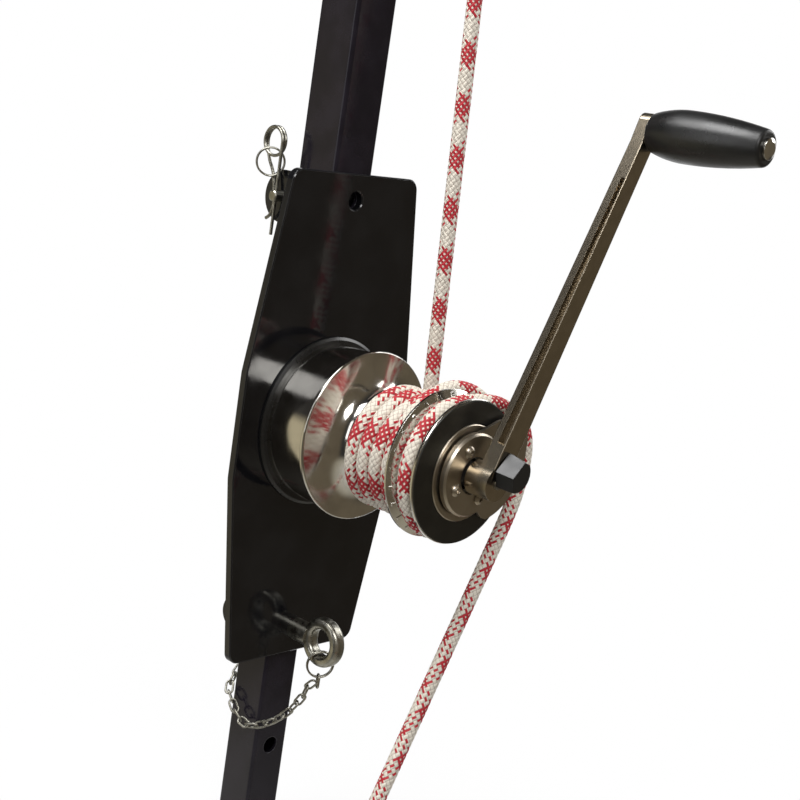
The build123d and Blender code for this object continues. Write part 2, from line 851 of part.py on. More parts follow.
def make_stem():
    """The fixed stem with its idler windows and pawl pockets, and its screws."""
    seat = head_bottom - turning_gap
    wide_bore = spindle_head / 2 + running_gap
    stem = turned(
        (stem_bore / 2, floor_top),
        (stem_flange_radius, floor_top),
        (stem_flange_radius, floor_top + stem_flange),
        (stem_foot_radius, floor_top + stem_flange),
        (stem_foot_radius, shoulder_bottom),
        (stem_shoulder_radius, shoulder_bottom),
        (stem_shoulder_radius, shoulder_top),
        (stem_radius, shoulder_top),
        (stem_radius, stem_top),
        (wide_bore, stem_top),
        (wide_bore, seat),
        (stem_bore / 2, seat),
    )
    first, second, *phases = gear_layout()
    window = disc(idler_tip + window_gap, floor_top, shoulder_bottom)
    stem -= Pos(first) * window
    stem -= Pos(second) * window
    thread = disc(cap_screw_shank / 2, arm_top - cap_screw_length, stem_top)
    for hole in around(thread, even_clocks(cap_screw_count, cap_screw_clock), cap_screw_circle):
        stem -= hole
    flange_top = floor_top + stem_flange
    socket = slab(RegularPolygon(stem_screw_head / 4, 6), stem_screw_head_height / 2, stem_screw_head_height)
    head = disc(stem_screw_head / 2, 0, stem_screw_head_height) - socket
    screw = Pos(0, 0, flange_top) * (head + disc(stem_screw_shank / 2, floor_bottom - flange_top, 0))
    screws = around(screw, stem_screw_clocks(), stem_screw_circle)
    stem_hole = disc(stem_screw_shank / 2, floor_top, flange_top)
    for hole in around(stem_hole, stem_screw_clocks(), stem_screw_circle):
        stem -= hole
    for clock in pawl_clocks():
        stem -= Rot(0, 0, 90 - clock) * pawl_pocket()
    save("stem", winch * stem)
    save("stem_screws", *[winch * one for one in screws])


def pawl_clocks():
    """Clock angles of the pawl pivots."""
    return even_clocks(pawl_count, 90)


def pawl_pocket():
    """The pocket and pin hole for one pawl, with its pivot on +X."""
    floor = pawl_pivot - pocket_depth / 2 - pawl_side_gap
    width = stem_radius + pocket_overcut - floor
    length = pocket_front + pocket_back
    middle = (pocket_front - pocket_back) / 2
    room = Pos(floor + width / 2, middle, 0) * Rectangle(width, length)
    pin_middle = (ratchet_bottom + ratchet_top) / 2
    pin_hole = disc(pawl_pin / 2, pin_middle - pawl_pin_length / 2, pin_middle + pawl_pin_length / 2)
    return slab(room, ratchet_bottom, ratchet_top) + Pos(pawl_pivot, 0, 0) * pin_hole


def make_pawls():
    """The ratchet ring in the drum, and the check pawls, pins and leaf springs in the stem."""
    step = 2 * pi / ratchet_teeth
    points = []
    for k in range(ratchet_teeth):
        points.append((ratchet_root * cos(k * step), ratchet_root * sin(k * step)))
        points.append((ratchet_tip * cos((k + 1) * step), ratchet_tip * sin((k + 1) * step)))
    ring = disc(drum_bore / 2 - press_gap, ratchet_bottom, ratchet_top)
    ring -= slab(make_face(Polyline(*points, close=True)), ratchet_bottom, ratchet_top)
    save("ratchet_ring", winch * ring)

    half = pawl_thickness / 2
    bar = make_face(Polyline(
        (-half, 0),
        (half, 0),
        (half, pawl_length - pawl_nose),
        (-half / 3, pawl_length),
        (-half, pawl_length),
        close=True,
    ))
    blank = bar + Circle(pawl_eye / 2) - Circle(pawl_pin / 2 + running_gap)
    bottom = ratchet_bottom + pawl_side_gap
    top = ratchet_top - pawl_side_gap
    pawl = Pos(pawl_pivot, 0, 0) * Rot(0, 0, -pawl_lift) * slab(blank, bottom, top)
    pin_middle = (bottom + top) / 2
    pin_bottom = pin_middle - pawl_pin_length / 2
    pin = Pos(pawl_pivot, 0, 0) * disc(pawl_pin / 2, pin_bottom, pin_bottom + pawl_pin_length)
    floor = pawl_pivot - pocket_depth / 2 - pawl_side_gap
    lean = radians(pawl_lift)
    rest = pawl_pivot - half / cos(lean) + leaf_contact * tan(lean) - turning_gap
    leaf = make_face(Polyline(
        (floor, leaf_foot),
        (floor, leaf_bend),
        (rest, leaf_contact),
        (rest - leaf_thickness, leaf_contact - leaf_skew),
        (floor + leaf_thickness, leaf_bend - 2 * leaf_skew),
        (floor + leaf_thickness, leaf_foot),
        close=True,
    ))
    spring = slab(leaf, bottom + leaf_margin, top - leaf_margin)
    turns = [Rot(0, 0, 90 - clock) for clock in pawl_clocks()]
    for number, turn in enumerate(turns, start=1):
        save(f"check_pawl_{number}", winch * (turn * pawl))
    save("pawl_pins", *[winch * (turn * pin) for turn in turns])
    save("pawl_springs", *[winch * (turn * spring) for turn in turns])


def make_gears():
    """Spindle with its pinion and socket, circlip, idlers, axles and ring gear."""
    first, second, first_phase, second_phase, ring_phase = gear_layout()
    journal = spindle_journal / 2
    clip_top = hub_bottom - turning_gap
    clip_bottom = clip_top - circlip_thickness
    clip_groove = journal - circlip_depth
    end = hub_bottom - journal_overhang
    shaft = spindle_shaft / 2
    head = spindle_head / 2
    spindle = turned(
        (0, end),
        (journal, end),
        (journal, clip_bottom - press_gap),
        (clip_groove, clip_bottom - press_gap),
        (clip_groove, clip_top + press_gap),
        (journal, clip_top + press_gap),
        (journal, gear_bottom),
        (shaft, gear_bottom),
        (shaft, head_bottom),
        (head, head_bottom),
        (head, spindle_top - spindle_edge),
        (head - spindle_edge, spindle_top),
        (0, spindle_top),
    )
    spindle += slab(outer_gear(pinion_teeth, 0), gear_bottom, gear_top)
    star = Rectangle(socket_side, socket_side) + Rot(0, 0, 45) * Rectangle(socket_side, socket_side)
    star_bottom = spindle_top - socket_depth
    spindle -= slab(Rot(0, 0, -handle_clock) * star, star_bottom, spindle_top)
    spindle -= disc(lock_room_radius, star_bottom - lock_room, star_bottom)
    save("spindle", winch * spindle)
    circlip = tube(clip_groove + circlip_width, clip_groove + press_gap, clip_bottom, clip_top)
    mouth = Pos(2 * journal, 0, clip_bottom) * Box(4 * journal, circlip_mouth, 4 * circlip_thickness)
    save("spindle_circlip", winch * (circlip - mouth))

    bore = idler_axle / 2 + running_gap
    for name, place, phase in (("idler_gear_a", first, first_phase), ("idler_gear_b", second, second_phase)):
        gear = slab(outer_gear(idler_teeth, phase), gear_bottom, gear_top) - disc(bore, gear_bottom, gear_top)
        save(name, winch * (Pos(place) * gear))
    axle_head = gear_top + turning_gap
    axle = disc(idler_axle / 2, floor_top - axle_sink, axle_head)
    axle += disc(idler_axle_head / 2, axle_head, axle_head + idler_axle_head_height)
    axle += disc(idler_axle_head / 2, floor_top, gear_bottom - turning_gap)
    save("idler_axles", *[winch * (Pos(place) * axle) for place in (first, second)])

    teeth_top = gear_top + turning_gap
    tip = ring_pitch - gear_addendum * gear_module
    ring = disc(ring_gear_radius - press_gap, gear_bottom, web_bottom)
    ring -= slab(gear_outline(ring_teeth, ring_root, tip, ring_phase, True), gear_bottom, teeth_top)
    ring -= disc(ring_root, teeth_top, web_bottom)
    save("ring_gear", winch * ring)


def make_bushes():
    """The two plain bushes that the drum turns on."""
    inner = stem_radius + press_gap
    outer = drum_bore / 2 - running_gap
    flange_top = shoulder_top + bush_flange
    lower = tube(bush_flange_radius, inner, shoulder_top, flange_top)
    lower += tube(outer, inner, flange_top, flange_top + bush_length)
    save("lower_bush", winch * lower)
    top = stem_top - upper_bush_drop
    save("upper_bush", winch * tube(outer, inner, top - upper_bush_length, top))


def make_drum():
    """The drum with its flared skirt and the crown that carries the jaws."""
    bore = drum_bore / 2
    cove = skirt_radius - skirt_land
    lip = skirt_lip_round
    corner = (skirt_radius - lip * (1 - cos(pi / 4)), skirt_top - lip * (1 - sin(pi / 4)))
    profile = [
        Polyline(
            (cove, skirt_top),
            (skirt_radius - lip, skirt_top),
        ),
        ThreePointArc((skirt_radius - lip, skirt_top), corner, (skirt_radius, skirt_top - lip)),
        Polyline(
            (skirt_radius, skirt_top - lip),
            (skirt_radius, skirt_bottom),
            (ring_gear_radius, skirt_bottom),
            (ring_gear_radius, web_bottom),
            (bore, web_bottom),
            (bore, crown_top),
            (crown_radius, crown_top),
            (crown_radius, jaw_seat),
            (drum_radius, jaw_seat),
            (drum_radius, flare_top),
        ),
        EllipticalCenterArc((cove, flare_top), cove - drum_radius, flare_height, start_angle=180),
    ]
    save("drum", winch * revolve(make_face(Plane.XZ * Curve(profile)), Axis.Z))


def ribbed(jaw, foot, rim):
    """A jaw with radial ribs along its cone from foot to rim, both (radius, height)."""
    slope = Vector(rim[0] - foot[0], rim[1] - foot[1], 0).normalized()
    inset = jaw_rib_inset
    side = 1 if rim[1] < foot[1] else -1
    lift = Vector(-slope.Y, slope.X, 0) * side
    low = Vector(*foot, 0) + slope * inset - lift * inset
    high = Vector(*rim, 0) - slope * inset - lift * inset
    raised = lift * (inset + jaw_rib_height)
    corners = [low, high, high + raised - slope * inset, low + raised + slope * inset]
    outline = make_face(Plane.XZ * Polyline(*[(c.X, c.Y) for c in corners], close=True))
    rib = extrude(outline, jaw_rib_width / 2, both=True)
    return jaw + [Rot(0, 0, 360 * k / jaw_ribs) * rib for k in range(jaw_ribs)]


def make_jaws():
    """The two ribbed jaws that grip the rope, and the black ring on top."""
    bore = crown_radius + press_gap
    rim_top = jaw_seat + lower_rim
    lower_foot = (jaw_floor_radius, jaw_seat + lower_cone)
    lower = turned(
        (bore, jaw_seat),
        (lower_rim_radius - lower_rim_edge, jaw_seat),
        (lower_rim_radius, jaw_seat + lower_rim_edge_height),
        (lower_rim_radius, rim_top),
        lower_foot,
        (jaw_floor_radius, jaw_joint),
        (bore, jaw_joint),
    )
    save("lower_jaw", winch * ribbed(lower, lower_foot, (lower_rim_radius, rim_top)))
    upper_foot = (jaw_floor_radius, jaw_joint + upper_cone_foot)
    upper_edge = (upper_rim_radius, crown_top - upper_rim)
    upper = turned(
        (bore, jaw_joint),
        (jaw_floor_radius, jaw_joint),
        upper_foot,
        upper_edge,
        (upper_rim_radius, crown_top - upper_rim_edge),
        (upper_rim_radius - upper_rim_edge, crown_top),
        (bore, crown_top),
    )
    save("upper_jaw", winch * ribbed(upper, upper_foot, upper_edge))
    ring = turned(
        (top_ring_bore / 2, crown_top),
        (top_ring_radius, crown_top),
        (top_ring_radius, crown_top + top_ring_edge),
        (top_ring_radius - top_ring_bevel, crown_top + top_ring_edge + top_ring_bevel_height),
        (top_ring_bore / 2, top_ring_top),
    )
    save("top_ring", winch * ring)


def make_cover():
    """Stem collar, self-tailing arm with its stripper finger, cap and cap screws."""
    spindle_room = spindle_head / 2 + turning_gap
    collar_radius = top_ring_bore / 2 - turning_gap
    clocks = even_clocks(cap_screw_count, cap_screw_clock)
    screw_room = disc(cap_screw_shank / 2 + screw_gap, stem_top, cap_top)
    rooms = around(screw_room, clocks, cap_screw_circle)
    collar = turned(
        (spindle_room, stem_top),
        (collar_radius, stem_top),
        (collar_radius, collar_top - collar_edge),
        (collar_radius - collar_edge, collar_top),
        (collar_step_radius, collar_top),
        (collar_step_radius, arm_bottom),
        (spindle_room, arm_bottom),
    )
    arm = slab(arm_outline() + Circle(cover_radius) - Circle(cover_bore / 2), arm_bottom, arm_top)
    arm += stripper()
    cap = turned(
        (cover_bore / 2, arm_top),
        (cover_radius, arm_top),
        (cover_radius, arm_top + cap_edge),
        (cap_flat_radius, cap_top),
        (cover_bore / 2, cap_top),
    )
    for room in rooms:
        collar -= room
        arm -= room
        cap -= room
    save("stem_collar", winch * collar)
    save("self_tailing_arm", winch * arm)
    save("top_cap", winch * cap)
    dome = turned(
        (0, 0),
        (cap_screw_head / 2, 0),
        (cap_screw_head / 2, 0.25 * cap_screw_head_height),
        (0.42 * cap_screw_head, 0.6 * cap_screw_head_height),
        (0.27 * cap_screw_head, cap_screw_head_height),
        (0, cap_screw_head_height),
    )
    socket = slab(RegularPolygon(cap_screw_socket / 2, 6, major_radius=False), 0.4 * cap_screw_head_height, 4)
    shank = disc(cap_screw_shank / 2, arm_top - cap_screw_length - cap_top, 0)
    screw = Pos(0, 0, cap_top) * (dome - socket + shank)
    save("cap_screws", *[winch * one for one in around(screw, clocks, cap_screw_circle)])


def arm_outline():
    """Plan of the self-tailing arm, which fans out beside the cap."""
    def at(clock, radius):
        point = clock_point(clock, radius)
        return (point.X, point.Y)

    start = at(fan_start_clock, cover_radius - fan_root)
    finish = at(fan_end_clock, cover_radius - fan_root)
    shoulder = at(*fan_shoulder)
    nose = at(*fan_nose)
    heel = at(*fan_heel)
    edges = [
        Polyline(start, at(*fan_edge), shoulder),
        ThreePointArc(shoulder, at(*fan_crest), nose),
        ThreePointArc(nose, at(*fan_flank), heel),
        Polyline(heel, at(*fan_heel_inside), finish, (0, 0), start),
    ]
    return make_face(Curve(edges))


def stripper():
    """The post beside the upper jaw and the finger that lifts the rope out of the groove."""
    inner = upper_rim_radius + post_gap
    outer = inner + post_thickness
    finger_bottom = (jaw_seat + lower_cone + jaw_joint + upper_cone_foot) / 2 - finger_height / 2
    wedge_points = [(0, 0)]
    for clock in (post_start, post_end):
        corner = clock_point(clock, 2 * outer)
        wedge_points.append((corner.X, corner.Y))
    wedge = make_face(Polyline(*wedge_points, close=True))
    post = tube(outer, inner, finger_bottom, arm_bottom)
    finger = tube(outer, finger_radius, finger_bottom, finger_bottom + finger_height)
    return (post + finger) & slab(wedge, finger_bottom, arm_bottom)


def drive_square(bottom, top, side):
    """The handle's square drive with its corners turned off."""
    return slab(Rectangle(side, side) & Circle(stud_corner), bottom, top)


def make_handle():
    """The crank arm, drive stud, lock and grip, drawn with the arm along +Y."""
    side = socket_side - 2 * socket_gap
    star_bottom = spindle_top - socket_depth
    shaft_bore = lock_shaft_diameter / 2 + running_gap
    shank_top = boss_bottom + stud_shank_length
    stud = drive_square(star_bottom + turning_gap, boss_bottom, side)
    stud += disc(stud_shank / 2, boss_bottom, shank_top)
    stud -= disc(shaft_bore, star_bottom, shank_top)
    save("drive_stud", handle * stud)

    rod = grip_rod / 2
    arm = crank_arm()
    arm -= disc(stud_shank / 2 + press_gap, boss_bottom, shank_top)
    arm -= disc(shaft_bore, shank_top, grip_seat)
    arm -= Pos(0, handle_length, 0) * disc(rod + press_gap, boss_bottom, grip_seat + arm_depth_tip)
    save("crank_arm", handle * arm)

    knob_bottom = handle_face + knob_gap
    plate_top = star_bottom - turning_gap
    save("lock_shaft", handle * disc(lock_shaft_diameter / 2, plate_top, knob_bottom))
    plate = drive_square(plate_top - lock_plate_height, plate_top, side)
    save("lock_plate", handle * (Rot(0, 0, lock_angle) * plate))
    save("lock_knob", handle * lock_knob(knob_bottom))

    at_grip = handle * Pos(0, handle_length, 0)
    washer = tube(grip_washer / 2, rod + running_gap, grip_seat, grip_seat + grip_washer_height)
    grip_bottom = grip_seat + grip_washer_height + grip_play
    grip_top = grip_bottom + grip_length
    washer_bottom = grip_top + grip_play
    head_seat = washer_bottom + grip_end_washer_height
    outer_washer = tube(grip_head / 2, rod + running_gap, washer_bottom, head_seat)
    save("grip_washers", at_grip * washer, at_grip * outer_washer)
    save("grip", at_grip * grip(grip_bottom, grip_top))
    spindle = disc(rod, grip_seat - arm_depth_tip, head_seat)
    spindle += turned(
        (0, head_seat),
        (grip_head / 2, head_seat),
        (grip_head / 2, head_seat + grip_head_height * 0.4),
        (grip_head * 0.32, head_seat + grip_head_height),
        (0, head_seat + grip_head_height),
    )
    save("grip_spindle", at_grip * spindle)


def crank_arm():
    """The tapered arm with its boss, rounded tip and side grooves."""
    root = arm_width_root / 2
    tip = arm_width_tip / 2
    end = handle_length + arm_tip_reach
    plan = make_face(Polyline((-root, 0), (root, 0), (tip, end - tip), (-tip, end - tip), close=True))
    plan += Pos(0, end - tip) * Circle(tip)
    seat_start = handle_length - grip_washer / 2
    slope = arm_rise / seat_start
    sides = make_face(Plane.YZ * Polyline(
        (0, handle_face),
        (seat_start, grip_seat),
        (end, grip_seat),
        (end, grip_seat - arm_depth_tip),
        (seat_start, grip_seat - arm_depth_tip),
        (0, handle_face - arm_depth_root),
        close=True,
    ))
    bar = slab(plan, boss_bottom, grip_seat + arm_depth_tip) & extrude(sides, 2 * boss_radius, both=True)
    long_edges = [edge for edge in bar.edges() if edge.length > handle_length / 2]
    bar = fillet(long_edges, arm_edge)
    for side in (-1, 1):
        bar -= arm_groove(side, slope)
    return bar + disc(boss_radius, boss_bottom, handle_face)


def arm_groove(side, slope):
    """The long tapered recess in one side of the crank arm, just under its front face."""
    length = groove_end - groove_start
    outline = make_face(Polyline(
        (0, 0),
        (length, 0),
        (length, -groove_height_tip),
        (0, -groove_height_root),
        close=True,
    ))
    outline = fillet(outline.vertices(), groove_corner)
    recess = extrude(Plane.YZ * outline, groove_depth, both=True)
    taper = (arm_width_root - arm_width_tip) / 2 / handle_length
    width = arm_width_root / 2 - taper * groove_start
    height = handle_face + slope * groove_start - groove_cover
    lean = Rot(degrees(slope), 0, side * degrees(taper))
    return Pos(side * width, groove_start, height) * lean * recess


def lock_knob(bottom):
    """The lock lever on the boss: a round knob set toward the arm, with slanted flats."""
    knob = disc(knob_radius, bottom, bottom + knob_height)
    knob = fillet(knob.edges().group_by(Axis.Z)[-1], knob_edge)
    cutter = Pos(0, knob_radius, 0) * Box(4 * knob_radius, 2 * knob_radius, 4 * knob_height)
    for clock, foot, top in knob_flats:
        lean = degrees(atan2(top - foot, knob_height))
        flat = Pos(0, foot, bottom) * Rot(-lean, 0, 0) * cutter
        knob -= Rot(0, 0, handle_clock - clock) * flat
    return Pos(0, knob_offset, 0) * knob


def grip(bottom, top):
    """The barrel grip, turned about its own axis."""
    bore = grip_rod / 2 + running_gap
    middle = bottom + grip_middle_share * (top - bottom)
    widest = (grip_middle / 2, middle)
    foot = (grip_inner_end / 2, bottom)
    tip = (grip_outer_end / 2, top)
    edges = [
        TangentArc(widest, foot, tangent=(0, -1)),
        Polyline(foot, (bore, bottom), (bore, top), tip),
        TangentArc(widest, tip, tangent=(0, 1)),
    ]
    outline = make_face(Curve(edges))
    rims = [v for v in outline.vertices() if v.X > bore + 1 and abs(v.Y - middle) > 1]
    return revolve(Plane.XZ * fillet(rims, grip_edge), Axis.Z)


def round_way(clock, radius, pitch):
    """Direction of a clockwise turn of rope at a clock angle."""
    return clock_point(clock + 90, 1.0, pitch / (2 * pi * radius))


def rope_stations():
    """Points and directions of the winding: round the drum, over the lower jaw, in the groove and out."""
    points = []
    ways = []
    first_height = flare_top + rope_diameter / 2
    for quarter in range(wrap_quarters + 1):
        clock = 90 + 90 * quarter
        points.append(clock_point(clock, wrap_radius, first_height + wrap_pitch * quarter / 4))
        ways.append(round_way(clock, wrap_radius, wrap_pitch))
    points += [clock_point(*station) for station in crossing_route]
    ways += [None] * len(crossing_route)
    for clock in groove_clocks:
        points.append(clock_point(clock, groove_rope_radius, jaw_seat + groove_rope_rise))
        ways.append(round_way(clock, groove_rope_radius, 0))
    points += [clock_point(*station) for station in leaving_route]
    ways += [None] * len(leaving_route)
    return points, ways


def report_gap(path, diameter):
    """Print the least gap between parts of a tube that are not neighbours along it."""
    spacing = diameter / 4
    count = int(path.length / spacing)
    points = [path @ (k / count) for k in range(count + 1)]
    skip = int(2.5 * diameter / spacing)
    least = min(
        (points[a] - points[b]).length for a in range(count + 1) for b in range(a + skip, count + 1)
    )
    print(f"rope winding: {path.length:.0f} long, least gap to itself {least - diameter:.2f}")


def make_rope():
    """The rope: load line with its eye, winding, and tail with its stopper knot."""
    points, ways = rope_stations()
    up_the_leg = Vector(0, 1, -load_line_lean).normalized()
    tail_way = Vector(-sin(radians(tail_lean)), -cos(radians(tail_lean)), 0)
    ways[0] = up_the_leg * -1
    ways[-1] = tail_way
    start = points[0] + up_the_leg * rope_diameter
    end = points[-1] + tail_way * rope_diameter
    edges = [Line(start, points[0]), *flowing(points, ways), Line(points[-1], end)]
    path = Wire(edges)
    winding = wire_solid(edges, rope_diameter)
    report_gap(path, rope_diameter)
    section = pi * rope_diameter**2 / 4
    print(f"rope winding: volume {winding.volume:.0f}, section times length {section * path.length:.0f}")
    tightest = min(edge.radius for edge in edges if edge.geom_type == GeomType.CIRCLE)
    print(f"rope winding: tightest radius {tightest:.1f}")
    save("rope_winding", winch * winding)

    radius = rope_diameter / 2
    top = start + up_the_leg * load_line_length
    save("rope_load_line", winch * wire_solid([Line(start, top)], rope_diameter))
    throat = Plane(origin=top, z_dir=up_the_leg, x_dir=(1, 0, 0))
    loop = Pos(0, 0, eye_throat_length + eye_loop_radius) * Rot(90, 0, 0) * Torus(eye_loop_radius, radius)
    save("load_eye", winch * (throat * (disc(eye_throat_radius, 0, eye_throat_length) + loop)))

    foot = end + tail_way * tail_length
    save("rope_tail", winch * wire_solid([Line(end, foot)], rope_diameter))
    knot_plane = Plane(origin=foot, z_dir=tail_way)
    knot = turned(
        (0, 0),
        (radius + knot_shoulder, 0),
        (knot_radius, knot_length * 0.3),
        (knot_radius, knot_length * 0.7),
        (radius + knot_shoulder, knot_length),
        (radius, knot_length),
        (radius, knot_length + knot_tail),
        (0, knot_length + knot_tail),
    )
    save("tail_knot", winch * (knot_plane * knot))


os.makedirs("parts", exist_ok=True)
make_leg()
make_plate()
make_hitch()
make_eye_bolt()
make_chain()
make_base()
make_stem()
make_pawls()
make_gears()
make_bushes()
make_drum()
make_jaws()
make_cover()
make_handle()
make_rope()
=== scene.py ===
import json
import math

import bmesh
import bpy
import numpy as np
from mathutils import Matrix, Vector


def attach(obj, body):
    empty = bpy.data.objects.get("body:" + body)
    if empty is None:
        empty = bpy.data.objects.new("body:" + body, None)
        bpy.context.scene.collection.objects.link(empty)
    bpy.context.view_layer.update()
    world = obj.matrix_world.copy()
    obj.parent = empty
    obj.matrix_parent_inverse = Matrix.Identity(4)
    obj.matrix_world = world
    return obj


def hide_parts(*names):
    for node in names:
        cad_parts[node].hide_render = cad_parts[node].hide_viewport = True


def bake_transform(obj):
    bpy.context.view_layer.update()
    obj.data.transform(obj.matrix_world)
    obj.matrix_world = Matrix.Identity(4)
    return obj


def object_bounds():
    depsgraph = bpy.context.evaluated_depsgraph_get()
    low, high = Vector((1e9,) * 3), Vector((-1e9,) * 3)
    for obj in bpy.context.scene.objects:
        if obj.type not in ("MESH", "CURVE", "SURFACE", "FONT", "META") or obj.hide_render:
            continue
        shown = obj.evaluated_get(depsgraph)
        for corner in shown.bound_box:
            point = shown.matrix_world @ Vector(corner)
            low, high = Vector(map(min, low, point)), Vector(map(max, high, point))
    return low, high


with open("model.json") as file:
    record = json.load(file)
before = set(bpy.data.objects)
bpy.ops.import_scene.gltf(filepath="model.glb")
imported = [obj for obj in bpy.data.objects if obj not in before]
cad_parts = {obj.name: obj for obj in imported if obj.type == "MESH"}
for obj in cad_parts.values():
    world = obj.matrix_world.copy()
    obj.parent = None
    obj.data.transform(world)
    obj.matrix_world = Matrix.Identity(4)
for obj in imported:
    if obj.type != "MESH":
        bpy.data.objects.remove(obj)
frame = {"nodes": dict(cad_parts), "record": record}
cad_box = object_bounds()

# Camera, fitted to the photograph: place, the image's right and up directions, and focal length in pixels
CAMERA_PLACE = Vector((-0.7210, -0.7390, 0.2271))
CAMERA_RIGHT = Vector((0.6807, -0.7174, 0.1486))
CAMERA_UP = Vector((0.0440, 0.2425, 0.9692))
FOCAL_PIXELS = 1417.3
FRAME_PIXELS = 800
SENSOR_MM = 36.0

# The winch stands on the plate's front face, and its heights run along -Y
PLATE_FRONT = -0.025
FIXED = "frame_and_stem"

# Rope, in metres, as in the part's source
ROPE_DIAMETER = 0.011
WRAP_RADIUS = 0.0394
WRAP_FOOT = 0.0643
WRAP_PITCH = 0.0115
WRAP_FIRST_CLOCK = 90
WRAP_LAST_CLOCK = 1350
GROOVE_RADIUS = 0.045
GROOVE_HEIGHT = 0.1252
GROOVE_FIRST_CLOCK = 165
GROOVE_LAST_CLOCK = 345
COIL_STEP = 15
LOAD_LINE_LENGTH = 0.333
LOAD_LINE_LEAN = 0.0555
TAIL_LENGTH = 0.226
TAIL_LEAN = math.radians(25.2)
# Clock angle, radius and height of the rope's way out of the last wrap to the groove, and from the groove out
CROSSING_ROUTE = [
    (300, 0.0411, 0.1055),
    (330, 0.0439, 0.1058),
    (0, 0.0484, 0.1056),
    (20, 0.0534, 0.1062),
    (40, 0.0579, 0.1093),
    (60, 0.0589, 0.1136),
    (80, 0.0586, 0.1178),
    (100, 0.0566, 0.1216),
    (120, 0.0522, 0.1242),
    (140, 0.0472, 0.1252),
]
LEAVING_ROUTE = [
    (5, 0.0454, 0.1254),
    (22, 0.0485, 0.1263),
    (37, 0.0550, 0.1285),
    (52, 0.0615, 0.1310),
    (65, 0.0665, 0.1328),
    (78, 0.0683, 0.1335),
    (90, 0.0678, 0.1335),
    (102.7, 0.0683, 0.1335),
    (117.8, 0.0707, 0.1335),
]
# A spline passes inside its points, so points on a bend stand out by this share
COIL_LEAD = 1.0064
CROSSING_LEAD = 1.009
LEAVING_LEAD = 1.006
# A straight stretch has a point this far from the winch
STRAIGHT_START = 6 * ROPE_DIAMETER
ROUTE_RESOLUTION = 10

# Braid: strands each way, those of them that have a red yarn, and where that yarn starts across its strand
BRAID_STRANDS = 8
BRAID_MARKED = 4
BRAID_RED_START = 0.43
# Length of one turn of a strand, and the braid's place about the rope and along it, both in turns
BRAID_TURN = 0.0356
BRAID_ROLL = -0.08
BRAID_START = 0.32
# Height of a strand, and the power that rounds it: the smaller it is, the fuller the strand
BRAID_RELIEF = 0.0006
STRAND_FULLNESS = 0.6
ROPE_SIDES = 48
ROPE_STEP = 0.0008
# A direction that the rope doesn't start in, from which its first cross direction comes
FIRST_ASIDE = (0.31, 0.86, 0.41)

# Spliced eye at the top of the load line, bound with twine
EYE_RADIUS = 0.0165
EYE_THROAT = 0.026
EYE_FIRST_ANGLE = -83
EYE_TURN = 345
THROAT_RADIUS = 0.007
THROAT_OVERLAP = 0.002
THROAT_MIDDLE = 0.6
TWINE_RADIUS = 0.0006
TWINE_PITCH = 2.1 * TWINE_RADIUS
TWINE_TURNS = 14
TWINE_START = 0.003
TWINE_STEP = 0.0009
TWINE_SIDES = 8

# Stopper knot at the foot of the tail
KNOT_TURNS = 2.2
KNOT_RADIUS = 0.0095
KNOT_PITCH = 0.0112
KNOT_START = 0.004
KNOT_ROPE_RADIUS = 0.0048
KNOT_TAIL = 0.051
KNOT_OVERLAP = 0.002
KNOT_CORE_RADIUS = 0.0051

# Floor
FLOOR_DROP = 0.004
FLOOR_RADIUS = 0.55
FLOOR_SIDES = 96
FLOOR_FADE_START = 0.12
FLOOR_FADE_END = 0.95 * FLOOR_RADIUS
FLOOR_COLOUR = (0.82, 0.82, 0.82, 1.0)
FLOOR_WHITENESS = 0.85

# Light: strength of the soft light from all round, and the room that polished surfaces reflect
SOFT_LIGHT = 0.36
WHITE = (1.0, 1.0, 1.0, 1.0)
ROOM_DARK = (0.045, 0.043, 0.04, 1.0)
ROOM_BROWN = (0.145, 0.12, 0.083, 1.0)
ROOM_GROUND = (0.4, 0.37, 0.29, 1.0)
ROOM_WALL = (0.55, 0.49, 0.34, 1.0)
FRONT_WAY = Vector((0.0, -1.0, 0.0))
DOWN_WAY = Vector((0.0, 0.0, -1.0))
WALL_WAY = Vector((-0.66, 0.69, -0.3))


def winch_point(clock, radius, height):
    """A point from its clock angle, radius and height above the plate."""
    angle = math.radians(clock)
    return Vector((radius * math.sin(angle), PLATE_FRONT - height, radius * math.cos(angle)))


def add_object(name, data, body=None):
    """Put new data into the scene, on a body where one is given."""
    piece = bpy.data.objects.new(name, data)
    bpy.context.scene.collection.objects.link(piece)
    if body:
        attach(piece, body)
    return piece


def spline_points(points):
    """Points read from a smooth spline that has these as its control points."""
    curve = bpy.data.curves.new("route", "CURVE")
    curve.dimensions = "3D"
    curve.resolution_u = ROUTE_RESOLUTION
    spline = curve.splines.new("NURBS")
    spline.points.add(len(points) - 1)
    for control, point in zip(spline.points, points):
        control.co = (*point, 1.0)
    spline.order_u = 3
    spline.use_endpoint_u = True
    holder = bpy.data.objects.new("route", curve)
    bpy.context.scene.collection.objects.link(holder)
    bpy.context.view_layer.update()
    mesh = bpy.data.meshes.new_from_object(holder.evaluated_get(bpy.context.evaluated_depsgraph_get()))
    line = np.array([vertex.co for vertex in mesh.vertices])
    bpy.data.meshes.remove(mesh)
    bpy.data.objects.remove(holder)
    bpy.data.curves.remove(curve)
    return line


def even_line(line, step):
    """The line's points respaced evenly, with their distances along it."""
    along = np.concatenate([[0.0], np.cumsum(np.linalg.norm(np.diff(line, axis=0), axis=1))])
    count = max(2, int(round(along[-1] / step)))
    places = np.linspace(0.0, along[-1], count + 1)
    points = np.stack([np.interp(places, along, line[:, axis]) for axis in range(3)], axis=1)
    return points, places


